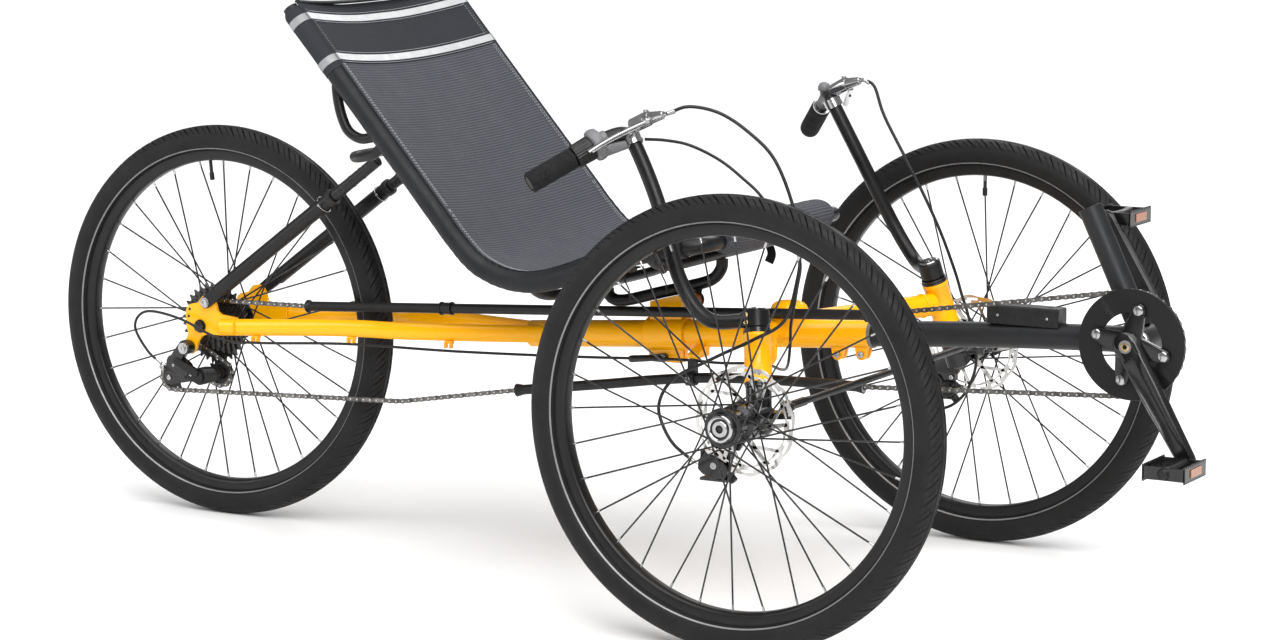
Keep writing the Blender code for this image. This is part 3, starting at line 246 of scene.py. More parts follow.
def make_finishes():
    made = {}

    def new(name, *args, **sockets):
        made[name] = Finish(name, *args, **sockets)
        return made[name]

    paint = new("yellow_gloss", (1.0, 0.445, 0.0), 0.22, slot="yellow_paint", specular_ior_level=0.35)
    paint.mottle((0.93, 0.39, 0.0), 6, 0.30).wear((1.0, 0.55, 0.02), 0.3).gloss(0.05).grain(160, 0.08,
                                                                                            0.0006)
    satin = new("boom_satin", (0.013, 0.0135, 0.015), 0.40, 0.15, slot="black_paint",
                specular_ior_level=0.35)
    satin.mottle((0.019, 0.0195, 0.021), 18, 0.5).wear((0.07, 0.07, 0.07), 0.3).gloss(0.08,
                                                                                      60).grain(1500, 0.2,
                                                                                                0.0002)
    black = new("black_gloss", (0.0035, 0.0035, 0.004), 0.20, slot="black_paint", coat_weight=0.2,
                coat_roughness=0.10,
                specular_ior_level=0.40)
    black.mottle((0.009, 0.009, 0.0095), 14, 0.6).wear((0.05, 0.05, 0.05), 0.35).gloss(0.08).grain(240,
                                                                                                   0.12,
                                                                                                   0.0005)
    powder = new("black_powder", (0.005, 0.005, 0.0055), 0.36, slot="black_paint", specular_ior_level=0.30)
    powder.mottle((0.009, 0.009, 0.0095), 20, 0.6).wear((0.05, 0.05, 0.05), 0.35).gloss(0.07,
                                                                                        50).grain(1100,
                                                                                                  0.3,
                                                                                                  0.0002)
    rim = new("rim_black", (0.006, 0.006, 0.0065), 0.34, 0.1, slot="black_paint", specular_ior_level=0.30)
    rim.mottle((0.016, 0.016, 0.016), 12, 0.5).gloss(0.08, 40).rings(2600, 0.25, 0.0002)
    tyre = new("tyre_rubber", (0.0075, 0.0075, 0.008), 0.60, slot="tyre_rubber", specular_ior_level=0.22)
    tyre.mottle((0.013, 0.0128, 0.0125), 9, 0.7).mottle((0.005, 0.005, 0.005), 60, 0.6)
    tyre.wear((0.040, 0.039, 0.038), 0.5).gloss(0.12, 22).grain(900, 0.35, 0.0004)
    stripe = new("reflex_stripe", (0.22, 0.22, 0.22), 0.34, 0.25, slot="tyre_rubber")
    stripe.mottle((0.15, 0.15, 0.148), 40, 0.6).gloss(0.1, 90).grain(2600, 0.4, 0.0002)
    rubber = new("cable_rubber", (0.004, 0.004, 0.004), 0.36, slot="grip_rubber", specular_ior_level=0.35)
    rubber.mottle((0.012, 0.012, 0.012), 30, 0.5).gloss(0.08, 60).grain(700, 0.15, 0.0003)
    foam = new("grip_foam", (0.007, 0.007, 0.0075), 0.85, slot="grip_rubber", specular_ior_level=0.20)
    foam.mottle((0.018, 0.018, 0.0185), 300, 0.7).gloss(0.08, 60).grain(1700, 0.8, 0.0005)
    plastic = new("plastic_black", (0.005, 0.005, 0.0055), 0.42, slot="black_plastic",
                  specular_ior_level=0.30)
    plastic.mottle((0.014, 0.014, 0.0145), 40, 0.6).wear((0.05, 0.05, 0.05), 0.3).gloss(0.1,
                                                                                        70).grain(1900,
                                                                                                  0.35,
                                                                                                  0.0002)
    grey = new("plastic_grey", (0.13, 0.13, 0.135), 0.42, slot="black_plastic")
    grey.mottle((0.18, 0.18, 0.19), 40, 0.6).gloss(0.08, 70).grain(1900, 0.35, 0.0002)
    spoke = new("spoke_steel", (0.010, 0.010, 0.011), 0.32, 0.3, slot="black_paint")
    spoke.mottle((0.035, 0.035, 0.035), 55, 0.6).gloss(0.08, 90).grain(1500, 0.15, 0.0001)
    steel = new("steel_bright", (0.46, 0.46, 0.46), 0.20, 1.0, slot="steel")
    steel.mottle((0.30, 0.295, 0.29), 35, 0.5).gloss(0.09, 60).grain(1300, 0.18, 0.0002)
    disc = new("rotor_steel", (0.62, 0.61, 0.60), 0.27, 1.0, slot="steel")
    disc.mottle((0.50, 0.47, 0.43), 26, 0.45).gloss(0.07, 50).rings(1900, 0.35, 0.0002, 0.4,
                                                                    (0.72, 0.71, 0.70))
    brass = new("bolt_brass", (0.55, 0.40, 0.20), 0.30, 1.0, slot="steel")
    brass.mottle((0.42, 0.30, 0.15), 60, 0.6).gloss(0.08, 60).grain(1500, 0.2, 0.0002)
    alloy = new("alloy_polished", (0.50, 0.50, 0.50), 0.16, 1.0, slot="aluminium")
    alloy.mottle((0.34, 0.34, 0.34), 30, 0.5).gloss(0.08, 50).grain(900, 0.18, 0.0002)
    chain = new("chain_plates", (0.20, 0.19, 0.178), 0.33, 1.0, slot="chain_steel")
    chain.mottle((0.05, 0.046, 0.042), 90, 0.8).gloss(0.12, 120).grain(1800, 0.3, 0.0002)
    cog = new("sprocket_black", (0.010, 0.010, 0.011), 0.30, 0.4, slot="steel")
    cog.mottle((0.022, 0.021, 0.020), 50, 0.6).wear((0.12, 0.115, 0.11), 0.5).gloss(0.1, 60).rings(1500,
                                                                                                   0.3,
                                                                                                   0.0002)
    mesh = new("seat_mesh", (0.048, 0.051, 0.060), 0.82, slot="mesh_fabric", specular_ior_level=0.20)
    mesh.weave(1150, 0.55, 0.9, 0.0007, (0.150, 0.156, 0.175), 0.8).mottle((0.040, 0.043, 0.050), 16, 0.12)
    mesh.gloss(0.08, 40)
    panel = new("seat_panel", (0.022, 0.023, 0.028), 0.82, slot="mesh_fabric", specular_ior_level=0.20)
    panel.weave(1400, 1.0, 0.8, 0.0006, (0.060, 0.062, 0.072), 0.7).mottle((0.020, 0.021, 0.025), 16, 0.2)
    vinyl = new("vinyl_dark", (0.008, 0.0085, 0.010), 0.50, slot="vinyl", specular_ior_level=0.25)
    vinyl.mottle((0.015, 0.0155, 0.018), 22, 0.6).gloss(0.08, 50).grain(650, 0.5, 0.0006)
    webbing = new("webbing", (0.006, 0.006, 0.007), 0.80, slot="mesh_fabric", specular_ior_level=0.20)
    webbing.mottle((0.018, 0.018, 0.020), 400, 0.8).grain(1500, 0.7, 0.0005)
    silver = new("reflective_tape", (0.50, 0.505, 0.51), 0.42, 0.15, slot="mesh_fabric")
    silver.mottle((0.40, 0.405, 0.41), 60, 0.6).gloss(0.08, 60).grain(2400, 0.5, 0.0002)
    # Painted shade: the same reflective tape, only darker, for the wraps round the sleeves' sides.
    shaded_tape = new("tape_shaded", (0.30, 0.305, 0.31), 0.42, 0.15, slot="mesh_fabric")
    shaded_tape.mottle((0.20, 0.205, 0.21), 60, 0.6).gloss(0.08, 60).grain(2400, 0.5, 0.0002)
    thread = new("thread", (0.32, 0.33, 0.35), 0.75, slot="mesh_fabric", sheen_weight=0.4)
    thread.mottle((0.22, 0.23, 0.25), 700, 0.8).grain(3000, 0.6, 0.0002)
    amber = new("amber_reflector", (0.26, 0.060, 0.006), 0.16, slot="black_plastic", coat_weight=0.6,
                coat_roughness=0.05)
    cells = amber.node("ShaderNodeTexVoronoi", Vector=amber.place, Scale=330.0).outputs["Distance"]
    amber.blend(amber.spread(cells, 0, 0.5, 0.1, 0.6), (0.45, 0.12, 0.01)).relief(cells, 0.6, 0.0006)
    floor = new("studio_floor", (0.90, 0.90, 0.90), 0.55)
    floor.mottle((0.885, 0.885, 0.888), 1.2, 0.6).gloss(0.05, 4)
    for item in made.values():
        item.done()
    return made


FINISHES = make_finishes()


# Shapes ------------------------------------------------------------------------------------------


def around(axis):
    """The axis and two unit vectors at right angles to it: X and Z for an axis along Y."""
    axis = Vector(axis).normalized()
    guide = Vector((1, 0, 0)) if abs(axis.x) < 0.9 else Vector((0, 1, 0))
    first = (guide - axis * guide.dot(axis)).normalized()
    return axis, first, first.cross(axis)


def smooth_path(route, spacing):
    """Points at about the given spacing on a smooth curve through the route."""
    route = [Vector(p) for p in route]
    padded = [2 * route[0] - route[1], *route, 2 * route[-1] - route[-2]]
    found = [route[0]]
    for before, start, end, after in zip(padded, padded[1:], padded[2:], padded[3:]):
        count = max(1, round((end - start).length / spacing))
        for i in range(1, count + 1):
            t = i / count
            bend = ((2 * before - 5 * start + 4 * end - after) * t**2
                    + (3 * start - before - 3 * end + after) * t**3)
            found.append(0.5 * (2 * start + (end - before) * t + bend))
    return found


def oval(half_width, half_height=None, sides=20):
    half_height = half_height or half_width
    angles = [(k + 0.5) * math.tau / sides for k in range(sides)]
    return [(half_width * math.cos(a), half_height * math.sin(a)) for a in angles]


def frames_along(path, closed=False):
    """For each point of a path: the point, and the directions sideways, up and ahead."""
    side = None
    count = len(path)
    for i, here in enumerate(path):
        before = path[i - 1] if closed or i > 0 else here
        after = path[(i + 1) % count] if closed or i < count - 1 else here
        ahead = (after - before).normalized()
        if side is None:
            side = (Vector((0, 0, 1)) if abs(ahead.z) < 0.9 else Vector((1, 0, 0))).cross(ahead)
        side = (side - ahead * side.dot(ahead)).normalized()
        yield here, side, ahead.cross(side), ahead


class Shape:
    """Closed shells gathered into one piece."""

    def __init__(self):
        self.points = []
        self.faces = []

    def add(self, points, faces):
        start = len(self.points)
        self.points += [Vector(p) for p in points]
        self.faces += [[start + i for i in face] for face in faces]
        return self

    def grid(self, rows, wrap_rows=False, caps=True):
        """Rings of points joined into a skin, closed at both ends unless the rings meet."""
        size = len(rows[0])
        faces = []
        following = rows[1:] + rows[:1] if wrap_rows else rows[1:]
        for r in range(len(following)):
            a, b = r * size, (r + 1) % len(rows) * size
            faces += [(a + k, a + (k + 1) % size, b + (k + 1) % size, b + k) for k in range(size)]
        if caps and not wrap_rows:
            faces += [list(range(size)), list(range((len(rows) - 1) * size, len(rows) * size))]
        return self.add([p for row in rows for p in row], faces)

    def lathe(self, profile, centre, axis=ACROSS, steps=64):
        """A closed profile of (distance along the axis, radius), turned round the axis."""
        axis, first, second = around(axis)
        rows = []
        for i in range(steps):
            angle = i * math.tau / steps
            out = first * math.cos(angle) + second * math.sin(angle)
            rows.append([Vector(centre) + axis * along + out * radius for along, radius in profile])
        return self.grid(rows, wrap_rows=True)

    def rod(self, start, end, radius, steps=24, ease=0.0006, end_radius=None):
        """A turned rod with eased ends."""
        start, end = Vector(start), Vector(end)
        length = (end - start).length
        far = radius if end_radius is None else end_radius
        axis, first, second = around(end - start)
        rows = []
        for along, r in ((0, radius - ease), (ease, radius), (length - ease, far), (length, far - ease)):
            angles = [i * math.tau / steps for i in range(steps)]
            rows.append([start + axis * along + r * (first * math.cos(a) + second * math.sin(a))
                         for a in angles])
        return self.grid(rows)

    def sweep(self, path, section, closed=False, swell=None):
        """A section of (sideways, up) points carried along a path; swell(i) scales it."""
        rows = []
        for i, (here, side, up, _) in enumerate(frames_along([Vector(p) for p in path], closed)):
            size = swell(i) if swell else 1.0
            rows.append([here + (side * a + up * b) * size for a, b in section])
        return self.grid(rows, wrap_rows=closed)

    def tube(self, route, radius, spacing=0.008, sides=20, swell=None):
        return self.sweep(smooth_path(route, spacing), oval(radius, sides=sides), swell=swell)

    def plate(self, outline, low, high, centre=(0, 0, 0)):
        """An outline of (x, z) points, given thickness along Y."""
        centre = Vector(centre)
        rows = [[centre + Vector((x, y, z)) for x, z in outline] for y in (low, high)]
        return self.grid(rows)

    def hull(self, points):
        shape = bmesh.new()
        for p in points:
            shape.verts.new(p)
        made = bmesh.ops.convex_hull(shape, input=shape.verts)
        spare = {v for v in made["geom_interior"] + made["geom_unused"] if isinstance(v,
                                                                                      bmesh.types.BMVert)}
        bmesh.ops.delete(shape, geom=list(spare), context="VERTS")
        shape.verts.index_update()
        self.add([v.co.copy() for v in shape.verts], [[v.index for v in f.verts] for f in shape.faces])
        shape.free()
        return self

    def bolt(self, centre, axis, radius, height):
        """A cap screw: a turned head with a hexagon socket in it."""
        axis, first, second = around(axis)
        rows = []
        for along, r, sides in ((0, 1.0, 24), (height * 0.85, 1.0, 24), (height, 0.86, 24),
                                (height, 0.56, 6), (height * 0.45, 0.54, 6)):
            ring = []
            for i in range(24):
                angle = i * math.tau / 24
                reach = r
                if sides == 6:
                    reach = r * math.cos(math.pi / 6) / math.cos((angle % (math.pi / 3)) - math.pi / 6)
                ring.append(Vector(centre) + axis * along
                            + radius * reach * (first * math.cos(angle) + second * math.sin(angle)))
            rows.append(ring)
        return self.grid(rows)

    def make(self, name, finish, body, replaces=(), centre=(0, 0, 0), bevel=0.0, angle=38,
             uv=None, local=False):
        """The piece as an object that rides on its body and stands for the CAD nodes it replaces."""
        centre = Vector(centre)
        mesh = bpy.data.meshes.new(name)
        mesh.from_pydata([p if local else p - centre for p in self.points], [], self.faces)
        fixed = bmesh.new()
        fixed.from_mesh(mesh)
        bmesh.ops.recalc_face_normals(fixed, faces=fixed.faces)
        if uv:
            layer = fixed.loops.layers.uv.new("metres")
            for face in fixed.faces:
                for loop in face.loops:
                    loop[layer].uv = uv[loop.vert.index]
        fixed.to_mesh(mesh)
        fixed.free()
        mesh.shade_smooth()
        mesh.set_sharp_from_angle(angle=math.radians(angle))
        return dress(bpy.data.objects.new(name, mesh), finish, body, replaces, centre, bevel)


def dress(made, finish, body, replaces=(), centre=(0, 0, 0), bevel=0.0):
    if made.name not in bpy.context.scene.collection.objects:
        bpy.context.scene.collection.objects.link(made)
    made.location = centre
    if not made.data.materials:
        made.data.materials.append(FINISHES[finish].material)
    if bevel:
        modifier = made.modifiers.new("edges", "BEVEL")
        modifier.width = bevel
        modifier.segments = 2
        modifier.limit_method = "ANGLE"
        modifier.angle_limit = math.radians(40)
        modifier.harden_normals = True
    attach(made, body)
    if replaces:
        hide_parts(*([replaces] if isinstance(replaces, str) else replaces))
    return made


def disc(centre, radius, thickness, axis=ACROSS, steps=28):
    """The rim points of a flat round disc, for a hull."""
    axis, first, second = around(axis)
    found = []
    for along in (0, thickness):
        for i in range(steps):
            a = i * math.tau / steps
            found.append(Vector(centre) + axis * along
                         + radius * (first * math.cos(a) + second * math.sin(a)))
    return found


def block(low, high):
    return [(x, y, z) for x in (low[0], high[0]) for y in (low[1], high[1]) for z in (low[2], high[2])]


def mirrored(point, side):
    return Vector((point[0], point[1] * side, point[2]))


def on_kingpin(height, side):
    return mirrored(KINGPIN_TOP + KINGPIN_SLOPE * (KINGPIN_TOP.z - height), side)


# Wheels ------------------------------------------------------------------------------------------


def tyre_profile():
    """Half of the tyre's outside, from the middle of the tread to the bead: (offset, radius)."""
    half = [(0, 0.3288), (0.006, 0.3284), (0.0120, 0.3268), (0.0175, 0.3235), (0.0218, 0.3180),
            (0.0244, 0.3110)]
    half += [(0.0249, 0.3040), (0.0236, 0.2975), (0.0212, 0.2930), (0.0180, 0.2898), (0.0140, 0.2878),
             (0.0126, 0.2872)]
    return [(p.x, p.y) for p in smooth_path([(w, r, 0) for w, r in half], 0.0016)]


def tread_shape():
    """A tyre with slanted grooves: the mesh itself slants, so that each groove has crisp walls."""
    half = tyre_profile()
    reach = [0.0]
    for a, b in zip(half, half[1:]):
        reach.append(reach[-1] + math.dist(a, b))
    columns = (0, 0.02, 0.13, 0.15, 0.50, 0.515, 0.565, 0.58)
    slant = 1.05
    shoulder = 0.030
    inner = [(0.0128, 0.2885), (0.0205, 0.2990), (0.0215, 0.3100), (0.0150, 0.3200), (0, 0.3240)]
    rows = []
    for block_number in range(TREAD_BLOCKS):
        for column, share in enumerate(columns):
            ring = []
            for mirror in (1, -1):
                line = []
                for (w, r), along in zip(half, reach):
                    shift = slant * min(along, shoulder) / 0.329
                    half_step = 0.5 if mirror < 0 else 0.0
                    angle = (block_number + share + half_step) * math.tau / TREAD_BLOCKS - shift
                    depth = 0.0
                    if 0.0065 < along < 0.0285:
                        deep = column in (1, 2)
                        slit = column in (5, 6) and along > 0.012
                        depth = 0.0040 if deep else 0.0027 if slit else 0.0
                    elif 0.0045 < along <= 0.0065:
                        depth = 0.0012
                    spot = Vector((math.cos(angle), 0, math.sin(angle))) * (r - depth)
                    spot.y = w * mirror
                    line.append(spot)
                ring.append(line)
            angle = (block_number + share) * math.tau / TREAD_BLOCKS
            out = Vector((math.cos(angle), 0, math.sin(angle)))
            inside = [out * r + ACROSS * w for w, r in inner] + [out * r - ACROSS * w for w,
                                                                 r in reversed(inner[:-1])]
            rows.append(list(reversed(ring[1][1:])) + ring[0] + inside)
    return Shape().grid(rows, wrap_rows=True)


def rim_profile():
    """The rim's section: two side walls and the bed between them."""
    outer = [(0.0122, 0.2872), (0.0126, 0.2868), (0.0126, 0.2760), (0.0118, 0.2735), (0.0098, 0.2712),
             (0.0060, 0.2698)]
    inner = [(0.0110, 0.2862), (0.0110, 0.2800), (0.0100, 0.2745), (0.0060, 0.2722)]
    profile = outer + [(-w, r) for w, r in reversed(outer)]
    return profile + [(-w, r) for w, r in inner] + list(reversed(inner))


def spoke_ends(flange_offset, flange_radius, share):
    """Each spoke's foot at the flange and tip at the rim, crossed three times."""
    for i in range(SPOKES_PER_SIDE):
        lean = math.radians(67.5) * (1 if i % 2 else -1)
        hub_angle = (i + share) * math.tau / SPOKES_PER_SIDE
        face = math.copysign(0.0019, flange_offset) * (1 if i % 2 else -1)
        foot = Vector((math.cos(hub_angle), 0, math.sin(hub_angle))) * flange_radius
        tip = Vector((math.cos(hub_angle + lean), 0, math.sin(hub_angle + lean))) * 0.2704
        foot.y = flange_offset + face
        tip.y = math.copysign(0.002, flange_offset)
        yield foot, tip


def rolling_wheel(prefix, centre, body, side, flanges, hub_profile, valve_angle):
    """Tyre, stripes, rim, spokes, nipples, valve and hub shell of one wheel, each built round the axle."""

    def part(shape, name, finish, replaces=(), bevel=0.0, angle=38):
        return shape.make(f"{prefix}_{name}", finish, body, replaces, centre, bevel, angle, local=True)

    part(tread_shape(), "tyre_tread", "tyre_rubber", f"{prefix}_tyre")
    stripe = Shape()
    for way in (1, -1):
        line = [(0.0188, 0.2899), (0.0207, 0.2917), (0.0201, 0.2922), (0.0182, 0.2904)]
        stripe.lathe([(way * w, r) for w, r in line], (0, 0, 0), steps=160)
    part(stripe, "tyre_stripe", "reflex_stripe")
    part(Shape().lathe(rim_profile(), (0, 0, 0), steps=160), "rim_hoop", "rim_black", f"{prefix}_rim")
    spokes, nipples = Shape(), Shape()
    for number, offset in enumerate(flanges):
        for foot, tip in spoke_ends(offset * side, 0.0255, 0.5 if number else 0.0):
            toward = (tip - foot).normalized()
            spokes.rod(foot, tip, 0.0014, 8, 0.0001)
            nipples.rod(tip - toward * 0.0095, tip + toward * 0.001, 0.0018, 10, 0.0003)
    part(spokes, "spokes", "spoke_steel")
    part(nipples, "nipples", "alloy_polished")
    out = Vector((math.cos(valve_angle), 0, math.sin(valve_angle)))
    valve = Shape().rod(out * 0.2715, out * 0.2480, 0.0029, 16).rod(out * 0.2500, out * 0.2365, 0.0040,
                                                                    16, 0.001)
    part(valve, "valve", "cable_rubber")
    shell = Shape().lathe([(y * side, r) for y, r in hub_profile], (0, 0, 0), steps=64)
    part(shell, "hub_shell", "black_gloss", f"{prefix}_hub_and_spokes", bevel=0.0004, angle=30)


def brake_rotor(prefix, side, body, centre):
    """A ventilated disc: a wavy braking band with slots, held by slanted arms."""
    steps = 240
    radii = (0.0640, 0.0672, 0.0712, 0.0752, 0.0796)
    face, thickness = -side * 0.0348, -side * 0.0018

    def spot(ring, step, level):
        angle = step * math.tau / steps
        radius = radii[ring]
        if ring == 4:
            radius += 0.0014 * math.sin(angle * 12) - 0.0006
        if ring == 0:
            radius += 0.0014 * math.sin(angle * 12)
        y = face + thickness * level
        return Vector((radius * math.cos(angle), y, radius * math.sin(angle)))

    def kept(ring, step):
        if not 0 <= ring < 4:
            return False
        phase = (step % steps) % 20
        if ring == 1:
            return not 3 <= phase < 15
        if ring == 2:
            return not (phase < 7 or phase >= 17)
        return True

    points, faces, index = [], [], {}

    def corner(ring, step, level):
        key = (ring, step % steps, level)
        if key not in index:
            index[key] = len(points)
            points.append(spot(*key))
        return index[key]

    for ring in range(4):
        for step in range(steps):
            if not kept(ring, step):
                continue
            loop = ((ring, step), (ring + 1, step), (ring + 1, step + 1), (ring, step + 1))
            for level in (0, 1):
                faces.append([corner(r, s, level) for r, s in loop])
            near = ((ring, step - 1), (ring + 1, step), (ring, step + 1), (ring - 1, step))
            for k, cell in enumerate(near):
                if not kept(*cell):
                    a, b = loop[k], loop[(k + 1) % 4]
                    faces.append([corner(*a, 0), corner(*b, 0), corner(*b, 1), corner(*a, 1)])
    rotor = Shape().add(points, faces)
    for arm in range(6):
        angle = arm * math.tau / 6
        start = Vector((0.020 * math.cos(angle - 0.5), face, 0.020 * math.sin(angle - 0.5)))
        end = Vector((0.0655 * math.cos(angle), face, 0.0655 * math.sin(angle)))
        rotor.hull(disc(start, 0.0046, thickness, steps=12) + disc(end, 0.0028, thickness, steps=12))
        brace = Vector((0.0655 * math.cos(angle + 0.42), face, 0.0655 * math.sin(angle + 0.42)))
        middle = start.lerp(end, 0.45)
        rotor.hull(disc(middle, 0.0024, thickness, steps=12) + disc(brace, 0.0022, thickness, steps=12))
    low, high = sorted((face, face + thickness))
    rotor.lathe([(low, 0.0160), (low, 0.0245), (high, 0.0245), (high, 0.0160)], (0, 0, 0), steps=48)
    rotor.make(f"{prefix}_rotor_disc", "rotor_steel", body, f"{prefix}_brake_rotor", centre, angle=30,
               local=True)
    bolts = Shape()
    for arm in range(6):
        angle = arm * math.tau / 6 - 0.25
        at = Vector((0.0215 * math.cos(angle), face + thickness, 0.0215 * math.sin(angle)))
        bolts.bolt(at, (0, -side, 0), 0.0028, 0.0022)
    bolts.make(f"{prefix}_rotor_bolts", "steel_bright", body, (), centre, local=True)


def front_wheels():
    for prefix, side in SIDES:
        centre = Vector((WHEELBASE, HALF_TRACK * side, AXLE_HEIGHT))
        body = f"{prefix}_front_wheel"
        flange = 0.029
        profile = [(-0.0345, 0.0068), (-0.0345, 0.0250), (-0.0315, 0.0270), (-0.0315, flange),
                   (-0.0275, flange)]
        profile += [(-0.0265, 0.0275), (-0.0120, 0.0268), (-0.0060, 0.0215), (0.0100, 0.0205),
                    (0.0270, 0.0225)]
        profile += [(0.0275, flange), (0.0315, flange), (0.0320, 0.0235), (0.0370, 0.0212),
                    (0.0370, 0.0068)]
        valve = math.radians(118 if side < 0 else 90)
        rolling_wheel(f"{prefix}_front", centre, body, side, (-0.02925, 0.02925), profile, valve)
        brake_rotor(prefix, side, body, centre)
        cap = [(0.0365, 0.0205), (0.0395, 0.0200), (0.0412, 0.0188), (0.0415, 0.0165), (0.0405, 0.0150),
               (0.0365, 0.0150)]
        trim = Shape().lathe([(y * side, r) for y, r in cap], (0, 0, 0), steps=64)
        trim.make(f"{prefix}_hub_cap_ring", "alloy_polished", body, (), centre, angle=25, local=True)
        inner = [(0.0368, 0.0068), (0.0368, 0.0152), (0.0392, 0.0148), (0.0392, 0.0068)]
        dust = Shape().lathe([(y * side, r) for y, r in inner], (0, 0, 0), steps=48)
        dust.make(f"{prefix}_hub_seal", "plastic_black", body, (), centre, angle=30, local=True)
        end = centre + Vector((0, side * 0.0392, 0))
        ring = [(-0.005, 0.0052), (-0.005, 0.0120), (0.0014, 0.0120), (0.0024, 0.0110), (0.0024, 0.0060),
                (0.0008, 0.0052)]
        bolt = Shape().lathe(ring, end, (0, side, 0), 48)
        bolt.make(f"{prefix}_axle_bolt", "steel_bright", f"{prefix}_steering", angle=30)
        socket = Shape().rod(end - Vector((0, side * 0.004, 0)), end + Vector((0, side * 0.0006, 0)),
                             0.0052, 6)
        socket.make(f"{prefix}_axle_socket", "plastic_black", f"{prefix}_steering", angle=30)


def rear_wheel():
    centre = Vector((0, 0, AXLE_HEIGHT))
    flange = 0.030
    profile = [(-0.0262, 0.0062), (-0.0262, 0.0200), (-0.0225, flange), (-0.0190, flange),
               (-0.0185, 0.0190)]
    profile += [(-0.0050, 0.0165), (0.0180, 0.0165), (0.0310, 0.0190), (0.0315, flange), (0.0350, flange)]
    profile += [(0.0355, 0.0195), (0.0450, 0.0150), (0.0500, 0.0120), (0.0500, 0.0062)]
    rolling_wheel("rear", centre, "rear_wheel", 1, (-0.02075, 0.03325), profile, math.radians(96))
    axle = Shape().rod((0, -0.0830, AXLE_HEIGHT), (0, 0.0830, AXLE_HEIGHT), 0.0049, 24)
    for way in (1, -1):
        nut = Vector((0, way * 0.0745, AXLE_HEIGHT))
        axle.lathe([(0, 0.005), (0, 0.0112), (0.0016, 0.0112), (0.0016, 0.005)], nut, (0, way, 0), 40)
        flats = [(0.0092 * math.cos(k * math.pi / 3), 0.0092 * math.sin(k * math.pi / 3)) for k in range(6)]
        low, high = sorted((way * 0.0016, way * 0.0080))
        axle.plate(flats, low, high, nut)
    axle.make("rear_axle_and_nuts", "sprocket_black", "frame", "rear_axle", bevel=0.0004)


def gear_outline(teeth, pitch_radius, roller=0.0039):
    """A sprocket's outline, one rounded gap and one tooth at each pitch."""
    found = []
    for tooth in range(teeth):
        start = tooth * math.tau / teeth
        for share, reach in ((-0.24, -0.0022), (-0.12, -0.0040), (0.0, -0.0044), (0.12, -0.0040),
                             (0.24, -0.0022),
                             (0.40, 0.0022), (0.46, 0.0030), (0.54, 0.0030), (0.60, 0.0022)):
            angle = start + share * math.tau / teeth
            radius = pitch_radius + reach * roller / 0.0039
            found.append((radius * math.cos(angle), radius * math.sin(angle)))
    return found


def pitch_radius_of(teeth):
    return CHAIN_PITCH / 2 / math.sin(math.pi / teeth)


def cassette():
    centre = Vector((0, 0, AXLE_HEIGHT))
    cogs = Shape()
    spacing = 0.0041
    largest = -0.0302
    for number, teeth in enumerate(SPROCKET_TEETH):
        high = largest - number * spacing
        radius = pitch_radius_of(teeth)
        outline = gear_outline(teeth, radius)
        count = len(outline)
        bore = max(0.0150, radius - 0.0150)
        rows = []
        for y in (high, high - 0.0018):
            rows.append([centre + Vector((x, y, z)) for x, z in outline])
        inner = []
        for y in (high - 0.0018, high):
            circle = [(bore * math.cos(math.atan2(z, x)), bore * math.sin(math.atan2(z, x))) for x,
                      z in outline]
            inner.append([centre + Vector((x, y, z)) for x, z in circle])
        rings = rows + inner
        points = [p for row in rings for p in row]
        faces = []
        for r in range(4):
            a, b = r * count, (r + 1) % 4 * count
            faces += [(a + k, a + (k + 1) % count, b + (k + 1) % count, b + k) for k in range(count)]
        cogs.add(points, faces)
        for arm in range(5):
            angle = arm * math.tau / 5 + number * 0.35
            out = Vector((math.cos(angle), 0, math.sin(angle)))
            level = Vector((0, high - 0.0002, 0))
            cogs.hull(disc(centre + level + out * 0.014, 0.0040, -0.0014, steps=10)
                      + disc(centre + level + out * (bore + 0.001), 0.0028, -0.0014, steps=10))
    cogs.lathe([(-0.0612, 0.0062), (-0.0612, 0.0138), (-0.0275, 0.0158), (-0.0275, 0.0062)], centre,
               steps=48)
    cogs.make("cassette_sprockets", "sprocket_black", "cassette", "cassette", centre, angle=30)
    lock = Shape().lathe([(-0.0630, 0.0072), (-0.0630, 0.0125), (-0.0610, 0.0135), (-0.0610, 0.0072)],
                         centre, steps=48)
    lock.make("cassette_lock_ring", "steel_bright", "cassette", (), centre, angle=30)


# Frame -------------------------------------------------------------------------------------------


def bead(shape, centre, axis, radius, size=0.0022):
    """A rippled weld bead round a joint."""
    axis, first, second = around(axis)
    path = []
    for i in range(96):
        angle = i * math.tau / 96
        ripple = 0.0003 * math.sin(angle * 48)
        around_it = first * math.cos(angle) + second * math.sin(angle)
        path.append(Vector(centre) + around_it * (radius + ripple))
    return shape.sweep(path, oval(size, sides=8), closed=True)


def dropout_outline(hanger):
    outline = [(-0.0300, 0.3520), (-0.0272, 0.3590), (-0.0215, 0.3640), (-0.0130, 0.3662),
               (-0.0050, 0.3672)]
    outline += [(0.0000, 0.3740), (0.0050, 0.3795), (0.0150, 0.3815), (0.0250, 0.3790), (0.0305, 0.3700),
                (0.0345, 0.3560)]
    outline += [(0.0420, 0.3510), (0.0740, 0.3480), (0.0740, 0.3190), (0.0420, 0.3160), (0.0150, 0.3165)]
    if hanger:
        outline += [(0.0020, 0.3120), (-0.0060, 0.3020), (-0.0115, 0.2860), (-0.0180, 0.2805),
                    (-0.0265, 0.2800)]
        outline += [(-0.0330, 0.2860), (-0.0345, 0.2950), (-0.0300, 0.3060), (-0.0255, 0.3150)]
    else:
        outline += [(-0.0120, 0.3150)]
    return outline + [(-0.0295, 0.3260)]


